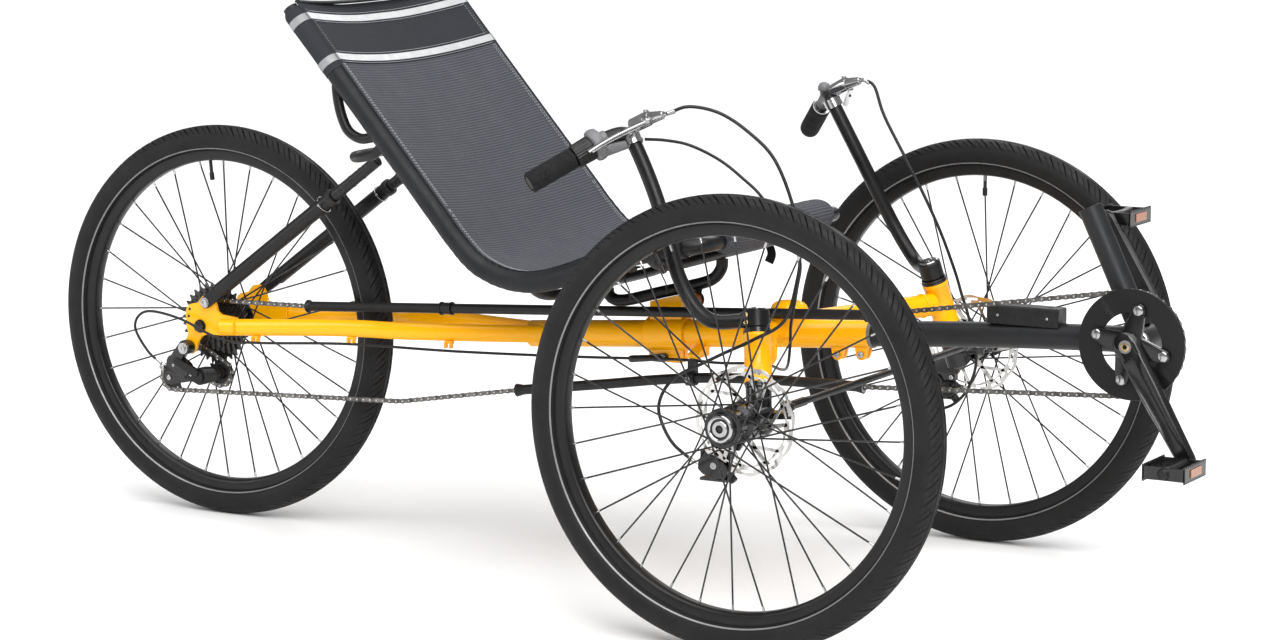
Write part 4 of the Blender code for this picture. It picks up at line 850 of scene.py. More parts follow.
def yellow_frame():
    tube = Shape()
    steps = 64
    rows = []
    axis, first, second = around(MAIN_AXIS)
    length = (MAIN_FRONT - MAIN_REAR).length
    outside = [(0, 0.0195), (0.0015, 0.0215), (length - 0.0015, 0.0215), (length, 0.0207),
               (length, 0.0203), (length - 0.17, 0.0203)]
    for along, radius in outside:
        ring = [MAIN_REAR + axis * along
                + radius * (first * math.cos(k * math.tau / steps) + second * math.sin(k * math.tau / steps))
                for k in range(steps)]
        rows.append(ring)
    tube.grid(rows)
    arms = [(1.168, 0.287, 0.4050), (1.128, 0.205, 0.4020), (1.085, 0.125, 0.3995), (1.057, 0.055, 0.3985)]
    route = arms + [(1.050, 0, 0.3985)] + [(x, -y, z) for x, y, z in reversed(arms)]
    tube.tube(route, 0.0180, 0.008, 40)
    crown = [(0, 0), (0, 0.0300), (0.0330, 0.0300), (0.0400, 0.0290), (0.0450, 0.0268), (0.0490, 0.0228),
             (0.0515, 0.0165)]
    crown += [(0.0527, 0.0085), (0.0530, 0)]
    tube.lathe([(a, max(r, 0.0001)) for a, r in crown], (1.062, 0, 0.3890), (0, 0, 1), 64)
    for side in (1, -1):
        low, high = on_kingpin(HEAD_LOW, side), on_kingpin(HEAD_HIGH, side)
        axis = (high - low).normalized()
        span = (high - low).length
        head = [(0, 0.0137), (0, 0.0203), (0.0006, 0.0208), (0.006, 0.0208), (0.0070, 0.0200),
                (span - 0.0070, 0.0200)]
        head += [(span - 0.006, 0.0208), (span - 0.0006, 0.0208), (span, 0.0203), (span, 0.0137)]
        tube.lathe(head, low, axis, 56)
        arm_end = mirrored(arms[0], side)
        bead(tube, arm_end.lerp(mirrored(arms[1], side), 0.22), (arm_end - mirrored(arms[1], side)),
             0.0180, 0.0018)
        stay = [(0.045, 0.0765, 0.3305), (0.28, 0.0765, 0.348), (0.40, 0.071, 0.3515),
                (0.52, 0.043, 0.354), (0.64, 0.012, 0.357)]
        tube.sweep(smooth_path([mirrored(p, side) for p in stay], 0.012), oval(0.0085, 0.014, 32))
        bead(tube, mirrored((0.0760, 0.0765, 0.3330), side), (1, 0, 0.07), 0.0118, 0.0014)
    bead(tube, (1.062, 0, 0.4195), (0, 0, 1), 0.0300, 0.0013)
    tube.make("frame_tubes", "yellow_gloss", "frame", "main_frame", angle=50)
    ends = Shape()
    for side in (1, -1):
        low, high = sorted((0.0680 * side, 0.0740 * side))
        ends.plate(dropout_outline(side < 0), low, high)
        ends.hull(disc((0.0158, 0.0735 * side, 0.3705), 0.0088, 0.0012 * side))
    tab_low, tab_high = HANGER_X - 0.009, HANGER_X + 0.009
    tab = block((tab_low, CHAIN_Y + 0.002, 0.3455), (tab_high, -0.005, 0.3515))
    tab += block((tab_low, -0.012, 0.352), (tab_high, -0.005, 0.364))
    ends.hull(tab)
    slope = MAIN_AXIS.z / MAIN_AXIS.x
    for x in (1.149, 1.189):
        top = MAIN_REAR.z + (x - MAIN_REAR.x) * slope
        for y in (-0.0090, 0.0025):
            ends.hull(disc((x, y, top - 0.031), 0.0088, 0.0065) + disc((x, y, top - 0.019), 0.0112, 0.0065))
    ends.make("frame_ends", "yellow_gloss", "frame", bevel=0.0009, angle=50)
    # The dropouts' holes are flat black discs on their outer faces: painted shade in the holes.
    holes = Shape()
    bolts = Shape()
    for side in (1, -1):
        for x, z in ((-0.0218, 0.3560), (-0.0240, 0.3440)):
            holes.rod((x, 0.0738 * side, z), (x, 0.0742 * side, z), 0.0026, 20, 0.0002)
        bolts.bolt((0.0158, 0.0826 * side, 0.3705), (0, side, 0), 0.0068, 0.0040)
        bolts.lathe([(0, 0.003), (0, 0.0085), (0.0012, 0.0085), (0.0012, 0.003)],
                    (0.0158, 0.0823 * side, 0.3705), (0, side, 0), 40)
    for x in (1.149, 1.189):
        top = MAIN_REAR.z + (x - MAIN_REAR.x) * slope
        bolts.bolt((x, -0.0090, top - 0.0305), (0, -1, 0), 0.0050, 0.0045)
        bolts.rod((x, 0.009, top - 0.0305), (x, 0.0125, top - 0.0305), 0.0042, 24)
    holes.make("dropout_hole_shade", "plastic_black", "frame")
    bolts.make("frame_bolts", "steel_bright", "frame", angle=30)
    clips = Shape()
    for x, z in ((0.115, 0.3165), (0.305, 0.3300), (0.480, 0.3345)):
        y = -0.0765 if x < 0.35 else -0.0570
        clips.hull(block((x - 0.007, y - 0.004, z + 0.001), (x + 0.007, y + 0.004, z + 0.006)))
        for way in (-0.005, 0.005):
            clips.hull(block((x + way - 0.0016, y - 0.007, z - 0.006),
                             (x + way + 0.0016, y + 0.002, z + 0.004)))
    clips.make("cable_clips", "yellow_gloss", "frame", bevel=0.0005)
    collar = Shape()
    ring = [(0, 0.0196), (0, 0.0218), (0.0035, 0.0218), (0.0045, 0.0208), (0.0045, 0.0196)]
    collar.lathe(ring, MAIN_FRONT, MAIN_AXIS, 64)
    collar.make("boom_seal_ring", "plastic_grey", "frame", angle=30)


def head_sets():
    """The two-step rings above and below each head tube."""
    for prefix, side in SIDES:
        body = f"{prefix}_steering"
        low, high = on_kingpin(HEAD_LOW, side), on_kingpin(HEAD_HIGH, side)
        axis = (high - low).normalized()
        rings = Shape()
        for number, (start, radius, height) in enumerate(((0.0002, 0.0208, 0.0032),
                                                          (0.0036, 0.0196, 0.0036))):
            profile = [(start, 0.0126), (start, radius), (start + height, radius), (start + height, 0.0126)]
            rings.lathe(profile, high, axis, 56)
            rings.lathe([(-a, r) for a, r in profile], low, axis, 56)
        rings.make(f"{prefix}_headset", "black_gloss", body, f"{prefix}_kingpin", bevel=0.0004, angle=30)


def boom():
    route = [MAIN_FRONT - MAIN_AXIS * 0.17, MAIN_FRONT + MAIN_AXIS * 0.04, (1.40, 0, 0.4150),
             (1.50, 0, 0.4205)]
    made = Shape().tube(route + [CRANK_AXIS + Vector((-0.012, 0, -0.001))], 0.0195, 0.012, 48)
    post_foot, post_top = Vector((1.6290, 0, 0.4560)), Vector((1.5530, 0, 0.6150))
    direction = (post_top - post_foot).normalized()
    height = (post_top - post_foot).length
    post = [(-0.012, 0.0165), (-0.012, 0.0180), (height - 0.0004, 0.0180), (height, 0.0175)]
    made.lathe(post + [(height, 0.0165), (height - 0.006, 0.0163)], post_foot, direction, 48)
    shell = [(-0.0345, 0.0166), (-0.0345, 0.0215), (-0.0290, 0.0220), (0.0290, 0.0220), (0.0345, 0.0215),
             (0.0345, 0.0166)]
    made.lathe(shell, CRANK_AXIS, steps=64)
    bead(made, post_foot - direction * 0.002, direction, 0.0182, 0.0015)
    made.hull(disc((1.548, 0, 0.4000), 0.0052, -0.0080, (0, 0, 1)) + disc((1.572, 0, 0.4010), 0.0052,
                                                                          -0.0080, (0, 0, 1)))
    made.make("boom_tube", "boom_satin", "frame", "boom", bevel=0.0003, angle=40)
    cap = Shape().rod(post_top - direction * 0.012, post_top - direction * 0.0035, 0.0166, 40)
    cap.make("post_cap", "plastic_black", "frame")
    low, high = (1.398, -0.0160, 0.4350), (1.513, 0.0160, 0.4630)
    mount = Shape()
    outline = [(-0.0160, low[2]), (-0.0160, 0.4605), (-0.0135, high[2]), (0.0135, high[2]),
               (0.0160, 0.4605), (0.0160, low[2])]
    mount.hull([(x, y, z) for x in (low[0], high[0]) for y, z in outline])
    mount.make("accessory_block", "plastic_black", "frame", "accessory_mount", bevel=0.0012, angle=30)
    screws = Shape()
    for x in (1.416, 1.495):
        screws.bolt((x, -0.0160, 0.4480), (0, -1, 0), 0.0020, 0.0012)
        screws.bolt((x, 0.0, 0.4622), (0, 0, 1), 0.0038, 0.0022)
    screws.make("accessory_screws", "steel_bright", "frame", angle=30)
    cups = Shape()
    for way in (1, -1):
        cup = [(0.0345, 0.0100), (0.0345, 0.0212), (0.0400, 0.0208), (0.0412, 0.0190), (0.0412, 0.0100)]
        cups.lathe([(a * way, r) for a, r in cup], CRANK_AXIS, steps=56)
        cups.lathe([(a * way, r) for a, r in ((0.0412, 0.0098), (0.0412, 0.0150), (0.0430, 0.0140),
                                              (0.0430, 0.0098))], CRANK_AXIS, steps=48)
    cups.make("bracket_cups", "alloy_polished", "frame", "bottom_bracket", bevel=0.0003, angle=30)


# Drive -------------------------------------------------------------------------------------------


def cranks():
    toward = Vector((math.cos(CRANK_ANGLE), 0, math.sin(CRANK_ANGLE)))
    across = Vector((-toward.z, 0, toward.x))
    for prefix, side in SIDES:
        tip = CRANK_AXIS - toward * CRANK_LENGTH * side
        body = "crankset"
        arm = Shape()
        stations = [(-0.0205, 0.004), (-0.0185, 0.0115), (-0.0120, 0.0180), (0.0, 0.0202),
                    (0.020, 0.0193), (0.045, 0.0186)]
        stations += [(0.070, 0.0184), (0.120, 0.0162), (0.165, 0.0148), (0.184, 0.0142), (0.194, 0.0122)]
        stations += [(0.1995, 0.0085), (0.2020, 0.0030)]
        rows = []
        for along, half in stations:
            share = max(0.0, min(1.0, along / CRANK_LENGTH))
            here = CRANK_AXIS - toward * along * side
            inner, outer = 0.0605 + (0.004 + ARM_STEP[side]) * share, 0.0785 + ARM_STEP[side] * share
            groove = 0.0
            if 0.024 < along < 0.168:
                groove = 0.0036 * math.sin(math.pi * (along - 0.024) / 0.144) ** 0.5
            section = [(-half * 0.80, inner), (-half, inner + 0.004), (-half, outer - 0.006),
                       (-half * 0.86, outer - 0.0018)]
            section += [(-half * 0.70, outer), (-half * 0.45, outer - groove * 0.8), (0, outer - groove)]
            section += [(half * 0.45, outer - groove * 0.8), (half * 0.70, outer),
                        (half * 0.86, outer - 0.0018)]
            section += [(half, outer - 0.006), (half, inner + 0.004), (half * 0.80, inner)]
            rows.append([here + across * a + ACROSS * b * side for a, b in section])
        fine = []
        for first, second in zip(rows, rows[1:]):
            pieces = max(1, round((second[0] - first[0]).length / 0.006))
            fine += [[a.lerp(b, k / pieces) for a, b in zip(first, second)] for k in range(pieces)]
        arm.grid(fine + [rows[-1]])
        if side < 0:
            plane = CRANK_AXIS + Vector((0, -0.0600, 0))
            for turn in range(4):
                angle = CRANK_ANGLE + math.radians(45 + 90 * turn)
                end = plane + Vector((math.cos(angle), 0, math.sin(angle))) * 0.0530
                arm.hull(disc(plane, 0.0190, -0.0075) + disc(end, 0.0098, 0.0036) + disc(end, 0.0088,
                                                                                         -0.0016))
        arm.make(f"{prefix}_crank_arm", "black_gloss", body, f"{prefix}_crank", CRANK_AXIS, bevel=0.0010,
                 angle=30)
        face = CRANK_AXIS + Vector((0, side * 0.0782, 0))
        washer = [(-0.004, 0.0060), (-0.004, 0.0098), (0.0006, 0.0096), (0.0010, 0.0090), (0.0010, 0.0060)]
        boss = Shape().lathe(washer, face, (0, side, 0), 48)
        boss.make(f"{prefix}_crank_washer", "plastic_grey", body, (), CRANK_AXIS, angle=30)
        Shape().bolt(face - Vector((0, side * 0.001, 0)), (0, side, 0), 0.0066, 0.0024).make(
            f"{prefix}_crank_bolt", "bolt_brass", body, (), CRANK_AXIS, angle=30)
        step = ARM_STEP[side]
        base = Vector((tip.x, 0, tip.z))
        spindle = Shape().rod(base + ACROSS * side * (0.0700 + step),
                              base + ACROSS * side * (0.0815 + step), 0.0075, 32)
        spindle.rod(base + ACROSS * side * (0.0800 + step), base + ACROSS * side * (0.1600 + step),
                    0.0045, 24)
        spindle.make(f"{prefix}_pedal_spindle", "steel_bright", body, (), CRANK_AXIS)
        pedal(prefix, base, side, step)


def pedal(prefix, base, side, step):
    """A cage pedal: two serrated plates, end bars, a barrel with bearing caps and amber reflectors."""
    name = f"{prefix}_pedal"
    near, far = 0.0840 + step, 0.1650 + step
    cage = Shape()
    for way in (1, -1):
        outline = []
        teeth = 11
        for i in range(teeth * 4 + 1):
            share = i / (teeth * 4)
            y = near + (far - near) * share
            notch = 0.0030 if i % 4 in (1, 2) else 0.0
            outline.append((y, 0.0122 - notch))
        lower = [(y, -z) for y, z in reversed(outline)]
        points = []
        for x in (0.0295, 0.0325):
            points.append([base + Vector((x * way, y * side, z)) for y, z in outline + lower])
        cage.grid(points)
    for y in (near, far - 0.0045):
        for way in (1, -1):
            cage.hull(disc(base + Vector((0, y * side, 0)), 0.0090, 0.0045 * side, steps=20)
                      + block(*(sorted_corners(base, way, y, side))))
    cage.make(f"{name}_cage", "black_gloss", name, f"{prefix}_pedal", base, bevel=0.0005, angle=30)
    barrel = Shape()
    start = base + Vector((0, side * (near - 0.0010), 0))
    outline = [(0, 0.0056), (0, 0.0095), (0.006, 0.0105), (0.014, 0.0088), (0.060, 0.0080),
               (0.070, 0.0098), (0.0810, 0.0092)]
    outline += [(0.0830, 0.0070), (0.0830, 0.0056)]
    barrel.lathe(outline, start, (0, side, 0), 40)
    barrel.make(f"{name}_barrel", "black_powder", name, (), base, angle=30)
    cap = Shape().rod(base + ACROSS * side * (far - 0.0015), base + ACROSS * side * (far + 0.0042),
                      0.0066, 32, 0.001)
    cap.make(f"{name}_dust_cap", "plastic_black", name, (), base)
    glow = Shape()
    for way in (1, -1):
        low = base + Vector((0.0325 * way, side * (near + 0.020), -0.0062))
        high = base + Vector((0.0338 * way, side * (far - 0.020), 0.0062))
        glow.hull(block(low, high))
    glow.make(f"{name}_reflectors", "amber_reflector", name, (), base, bevel=0.0005)


def sorted_corners(base, way, y, side):
    low = base + Vector((0.0250 * way, y * side, -0.0092))
    high = base + Vector((0.0312 * way, (y + 0.0045) * side, 0.0092))
    return low, high


def chainwheel():
    """The guard disc in front of a toothed ring, with four bolts."""
    guard = Shape()
    face = [(0.0525, 0.0470), (0.0525, 0.0808), (0.0532, 0.0815), (0.0545, 0.0815), (0.0552, 0.0808),
            (0.0552, 0.0478), (0.0545, 0.0470)]
    guard.lathe(face, CRANK_AXIS, (0, -1, 0), 128)
    for turn in range(4):
        angle = CRANK_ANGLE + math.radians(45 + 90 * turn)
        out = Vector((math.cos(angle), 0, math.sin(angle)))
        guard.hull(disc(CRANK_AXIS + out * 0.050 - ACROSS * 0.0526, 0.0095,
                        -0.0024) + disc(CRANK_AXIS + out * 0.062 - ACROSS * 0.0526, 0.014, -0.0024))
    guard.make("chain_guard_disc", "black_powder", "crankset", "chainring", CRANK_AXIS, bevel=0.0003,
               angle=30)
    ring = Shape()
    outline = gear_outline(CHAINRING_TEETH, pitch_radius_of(CHAINRING_TEETH))
    rows = [[CRANK_AXIS + Vector((x, y, z)) for x, z in outline] for y in (-0.0458, -0.0482)]
    circle = [(0.0600 * math.cos(math.atan2(z, x)), 0.0600 * math.sin(math.atan2(z, x))) for x,
              z in outline]
    rows += [[CRANK_AXIS + Vector((x, y, z)) for x, z in circle] for y in (-0.0482, -0.0458)]
    ring.grid(rows, wrap_rows=True)
    for turn in range(4):
        angle = CRANK_ANGLE + math.radians(45 + 90 * turn)
        out = Vector((math.cos(angle), 0, math.sin(angle)))
        ring.hull(disc(CRANK_AXIS + out * 0.052 - ACROSS * 0.0458, 0.0080,
                       -0.0024) + disc(CRANK_AXIS + out * 0.0625 - ACROSS * 0.0458, 0.013, -0.0024))
    ring.make("chainring_teeth", "sprocket_black", "crankset", (), CRANK_AXIS, angle=30)
    bolts = Shape()
    for turn in range(4):
        angle = CRANK_ANGLE + math.radians(45 + 90 * turn)
        at = CRANK_AXIS + Vector((math.cos(angle) * 0.0525, 0, math.sin(angle) * 0.0525))
        bolts.rod(at - ACROSS * 0.0440, at - ACROSS * 0.0570, 0.0048, 32)
        bolts.lathe([(0.0605, 0.0078), (0.0625, 0.0078), (0.0642, 0.0064), (0.0650, 0.0040),
                     (0.0650, 0.0001)], at, (0, -1, 0), 32)
        bolts.rod(at - ACROSS * 0.0440, at - ACROSS * 0.0455, 0.0062, 32)
    bolts.make("chainring_bolts", "steel_bright", "crankset", (), CRANK_AXIS, angle=30)


def tangent_points(start, end):
    """Where a belt leaves one wheel and meets the next: each is (centre, radius, 1 if it turns left)."""
    (first, first_radius, first_turn), (second, second_radius, second_turn) = start, end
    gap = Vector((second.x - first.x, second.z - first.z))
    offset = (second_turn * second_radius - first_turn * first_radius) / gap.length
    heading = math.atan2(gap.y, gap.x) - math.asin(offset)
    normal = Vector((-math.sin(heading), 0, math.cos(heading)))
    return first - normal * first_turn * first_radius, second - normal * second_turn * second_radius


def chain_route():
    """The chain's pitch line: over the crank, back along the top tube, and home below."""
    wheels = [
        (Vector((CRANK_AXIS.x, CHAIN_Y, CRANK_AXIS.z)), CHAINRING_RADIUS, 1),
        (UPPER_TUBE_FRONT, 0, 1),
        (UPPER_TUBE_REAR, 0, 1),
        (Vector((0, CHAIN_Y, AXLE_HEIGHT)), SPROCKET_RADIUS, 1),
        (GUIDE_JOCKEY, JOCKEY_RADIUS, -1),
        (TENSION_JOCKEY, JOCKEY_RADIUS, 1),
        (Vector((0.379, CHAIN_Y, 0.231)), 0, 1),
    ]
    wheels += [(p, 0, 1) for p in LOWER_ROUTE]
    found = []
    for i, wheel in enumerate(wheels):
        centre, radius, turn = wheel
        if radius == 0:
            found.append(centre)
            continue
        arrive = tangent_points(wheels[i - 1], wheel)[1] - centre
        leave = tangent_points(wheel, wheels[(i + 1) % len(wheels)])[0] - centre
        first, last = math.atan2(arrive.z, arrive.x), math.atan2(leave.z, leave.x)
        swing = (last - first) * turn % math.tau * turn
        pieces = max(6, math.ceil(abs(swing) / 0.08))
        for k in range(pieces + 1):
            angle = first + swing * k / pieces
            found.append(centre + Vector((math.cos(angle), 0, math.sin(angle))) * radius)
    return found


def evenly(path, step):
    """Points a step apart along a closed path, the step fitted to a whole and even number of them."""
    path = path + path[:1]
    lengths = [(b - a).length for a, b in zip(path, path[1:])]
    count = round(sum(lengths) / step / 2) * 2
    step = sum(lengths) / count
    found, travelled, target = [], 0.0, 0.0
    for (a, b), length in zip(zip(path, path[1:]), lengths):
        while target < travelled + length - 1e-9 and len(found) < count:
            found.append(a.lerp(b, (target - travelled) / length))
            target += step
        travelled += length
    return found


def roller_chain():
    """Inner and outer links in turn, each a pair of waisted plates, with a roller and pin at every joint."""
    pins = evenly(chain_route(), CHAIN_PITCH)
    plates, rollers = Shape(), Shape()
    waist = []
    for k in range(12):
        angle = math.tau * (k + 0.5) / 12
        waist.append((0.5 + math.copysign(0.5, math.cos(angle)), 0.0040 * math.cos(angle),
                      0.0040 * math.sin(angle)))
    for i, here in enumerate(pins):
        there = pins[(i + 1) % len(pins)]
        ahead = (there - here).normalized()
        up = ACROSS.cross(ahead)
        inner, outer = ((0.0014, 0.0022) if i % 2 else (0.0023, 0.0031))
        ring = []
        for share, a, b in waist:
            ring.append((here.lerp(there, share) + ahead * a) + up * b)
        middle = here.lerp(there, 0.5)
        ring = ring[:3] + [middle + up * 0.0029] + ring[3:9] + [middle - up * 0.0029] + ring[9:]
        for way in (1, -1):
            plates.grid([[p + ACROSS * y * way for p in ring] for y in (inner, outer)])
        rollers.rod(here - ACROSS * 0.0013, here + ACROSS * 0.0013, 0.0037, 12, 0.0001)
        rollers.rod(here - ACROSS * 0.0037, here + ACROSS * 0.0037, 0.0016, 10, 0.0003)
    plates.make("chain_side_plates", "chain_plates", "frame", "chain", angle=30)
    rollers.make("chain_rollers", "steel_bright", "frame", angle=30)


def chain_tubes():
    upper = Shape()
    along = (UPPER_TUBE_FRONT - UPPER_TUBE_REAR).normalized()
    length = (UPPER_TUBE_FRONT - UPPER_TUBE_REAR).length
    flare = [(0, 0.0066), (0, 0.0098), (0.0012, 0.0108), (0.0040, 0.0108), (0.0052, 0.0096),
             (0.0075, 0.0084), (0.0100, 0.0080)]
    outside = flare + [(length - a, r) for a, r in reversed(flare)]
    upper.lathe(outside + [(length - 0.0001, 0.0064), (0.0001, 0.0064)], UPPER_TUBE_REAR, along, 40)
    upper.make("upper_tube_skin", "plastic_black", "frame", "upper_chain_tube", angle=35)
    clip = Shape()
    at = UPPER_TUBE_REAR + along * 0.272
    clip.lathe([(-0.009, 0.0081), (-0.009, 0.0096), (0.009, 0.0096), (0.009, 0.0081)], at, along, 32)
    clip.lathe([(-0.011, 0.0081), (-0.011, 0.0108), (-0.008, 0.0108), (-0.008, 0.0081)], at, along, 32)
    clip.lathe([(0.008, 0.0081), (0.008, 0.0108), (0.011, 0.0108), (0.011, 0.0081)], at, along, 32)
    clip.make("tube_joiner", "plastic_black", "frame", bevel=0.0004, angle=30)
    lower = Shape()
    path = smooth_path(LOWER_ROUTE, 0.012)

    def flared(i):
        near = min(i, len(path) - 1 - i) * 0.012
        return 1.32 if near < 0.008 else 1.0

    lower.sweep(path, oval(0.0080, sides=32), swell=flared)
    middle = Vector((HANGER_X, CHAIN_Y, 0.3150))
    lean = Vector((0.99, 0, 0.12)).normalized()
    lower.lathe([(-0.008, 0.0078), (-0.008, 0.0115), (0.008, 0.0115), (0.008, 0.0078)], middle, lean, 40)
    ear_low, ear_high = (HANGER_X - 0.0055, CHAIN_Y - 0.003, 0.3190), (HANGER_X + 0.0055, CHAIN_Y + 0.012,
                                                                       0.3452)
    lower.hull(block(ear_low, ear_high))
    lower.make("lower_tube_skin", "plastic_black", "frame", "lower_chain_tube", bevel=0.0004, angle=35)
    dark = Shape()
    for end, inward in ((LOWER_ROUTE[0], LOWER_ROUTE[1]), (LOWER_ROUTE[-1], LOWER_ROUTE[-2])):
        out = (end - inward).normalized()
        dark.lathe([(0.0004, 0.0052), (0.0004, 0.0086), (0.0012, 0.0084), (0.0012, 0.0052)], end, out, 32)
    dark.bolt(middle + Vector((0, -0.0116, 0)), (0, -1, 0), 0.0042, 0.0030)
    dark.make("lower_tube_trim", "steel_bright", "frame", angle=30)


def derailleur():
    hanger = Vector((-0.0225, -0.0743, 0.2921))
    body = Shape()
    body.rod(hanger, hanger + Vector((0, -0.0190, 0)), 0.0115, 40, 0.001)
    body.hull(disc(hanger + Vector((-0.002, -0.004, 0.004)), 0.0090,
                   -0.012) + disc((-0.046, -0.076, 0.268), 0.0110, -0.012))
    body.hull(disc((-0.048, -0.0705, 0.2660), 0.0125, -0.019) + disc((-0.030, -0.0720, 0.2550), 0.0130,
                                                                     -0.016))
    body.make("derailleur_knuckle_rear", "black_gloss", "frame", "derailleur_body", hanger, bevel=0.0016,
              angle=30)
    link = Shape()
    link.hull(disc((-0.052, -0.0800, 0.2600), 0.0100, -0.008) + disc((0.000, -0.0780, 0.2440), 0.0110,
                                                                     -0.008))
    link.hull(disc((-0.040, -0.0850, 0.2690), 0.0060, -0.006) + disc((-0.004, -0.0830, 0.2520), 0.0070,
                                                                     -0.006))
    link.hull(disc((0.002, -0.0640, 0.2450), 0.0145, -0.019) + disc((0.0195, -0.0600, 0.2480), 0.0120,
                                                                    -0.014))
    link.make("derailleur_linkage", "black_powder", "frame", (), hanger, bevel=0.0014, angle=30)
    rings = Shape()
    for y, radius in ((-0.0190, 0.0098), (-0.0200, 0.0070)):
        rings.lathe([(0, 0.0030), (0, radius), (0.0012, radius - 0.0004), (0.0012, 0.0030)],
                    hanger + Vector((0, y, 0)), (0, -1, 0), 40)
    rings.bolt(hanger + Vector((0, -0.0200, 0)), (0, -1, 0), 0.0052, 0.0030)
    rings.bolt((-0.0700, -0.0880, 0.2560), (0, -1, 0), 0.0046, 0.0034)
    rings.rod((-0.0700, -0.0780, 0.2560), (-0.0700, -0.0880, 0.2560), 0.0040, 24)
    rings.bolt((-0.0130, -0.0862, 0.2475), (0, -1, 0), 0.0026, 0.0016)
    rings.bolt((-0.0470, -0.0882, 0.2610), (0, -1, 0), 0.0026, 0.0016)
    rings.make("derailleur_bolts", "steel_bright", "frame", (), hanger, angle=30)
    outer, inner = CHAIN_Y - 0.0112, CHAIN_Y + 0.0052
    cage = Shape()
    for y, thickness in ((outer, 0.0022), (inner, 0.0018)):
        level = Vector((0, y - CHAIN_Y, 0))
        cage.hull(disc(GUIDE_JOCKEY + level, 0.0130,
                       thickness) + disc(GUIDE_JOCKEY.lerp(TENSION_JOCKEY, 0.4) + level, 0.0090,
                                         thickness))
        cage.hull(disc(TENSION_JOCKEY + level, 0.0120,
                       thickness) + disc(GUIDE_JOCKEY.lerp(TENSION_JOCKEY, 0.4) + level, 0.0090,
                                         thickness))
    cage.make("derailleur_cage_plates", "black_gloss", "frame", "derailleur_cage", GUIDE_JOCKEY,
              bevel=0.0006, angle=30)
    pins = Shape()
    for centre in (GUIDE_JOCKEY, TENSION_JOCKEY):
        pins.rod(centre + Vector((0, -0.0100, 0)), centre + Vector((0, 0.0060, 0)), 0.0028, 20)
        pins.bolt(centre + Vector((0, -0.0112, 0)), (0, -1, 0), 0.0042, 0.0020)
    pins.make("jockey_bolts", "steel_bright", "frame", (), angle=30)
    for name, centre in (("guide_jockey", GUIDE_JOCKEY), ("tension_jockey", TENSION_JOCKEY)):
        wheel = Shape()
        outline = gear_outline(JOCKEY_TEETH, JOCKEY_RADIUS, 0.0036)
        rows = [[centre + Vector((x, y, z)) for x, z in outline] for y in (-0.0011, 0.0011)]
        circle = [(0.0125 * math.cos(math.atan2(z, x)), 0.0125 * math.sin(math.atan2(z, x))) for x,
                  z in outline]
        rows += [[centre + Vector((x, y, z)) for x, z in circle] for y in (0.0011, -0.0011)]
        wheel.grid(rows, wrap_rows=True)
        wheel.lathe([(-0.0028, 0.0038), (-0.0028, 0.0085), (0.0028, 0.0085), (0.0028, 0.0038)], centre,
                    steps=32)
        for arm in range(5):
            angle = arm * math.tau / 5
            out = Vector((math.cos(angle), 0, math.sin(angle)))
            wheel.hull(disc(centre + out * 0.008 - ACROSS * 0.001, 0.0020, 0.002,
                            steps=8) + disc(centre + out * 0.0135 - ACROSS * 0.001, 0.0020, 0.002,
                                            steps=8))
        wheel.make(f"{name}_wheel", "plastic_black", name, name, centre, angle=30)


# Steering and controls ---------------------------------------------------------------------------


def front_corners():
    for prefix, side in SIDES:
        body = f"{prefix}_steering"
        top = on_kingpin(HEAD_LOW - HEADSET_HEIGHT, side)
        foot = on_kingpin(0.303, side)
        knuckle = Shape()
        knuckle.rod(foot, top, 0.0190, 48, 0.0015)
        knuckle.lathe([(-0.004, 0.0001), (-0.004, 0.0125), (0.0, 0.0165), (0.002, 0.0165),
                       (0.002, 0.0001)], foot, top - foot, 40)
        hub_face = (HALF_TRACK - 0.0350) * side
        knuckle.rod((WHEELBASE, 0.328 * side, AXLE_HEIGHT), (WHEELBASE, hub_face, AXLE_HEIGHT), 0.0150,
                    40, 0.001, 0.0132)
        tie_level = 0.343 - 0.0090
        knuckle.hull(disc((1.230, 0.330 * side, tie_level - 0.008), 0.0100, 0.0080, (0, 0, 1))
                     + disc((1.188, 0.330 * side, tie_level - 0.011), 0.0140, 0.0110, (0, 0, 1)))
        knuckle.hull(block((1.132, 0.3715 * side, 0.281), (1.176, 0.3765 * side, 0.300))
                     + block((1.180, 0.3560 * side, 0.318), (1.196, 0.3765 * side, 0.338)))
        knuckle.make(f"{prefix}_knuckle_casting", "black_gloss", body, f"{prefix}_knuckle", bevel=0.0012,
                     angle=32)
        axle = Shape().rod((WHEELBASE, hub_face, AXLE_HEIGHT),
                           (WHEELBASE, (HALF_TRACK + 0.0370) * side, AXLE_HEIGHT), 0.0062, 28)
        axle.make(f"{prefix}_spindle", "steel_bright", body)
        caliper(prefix, side)


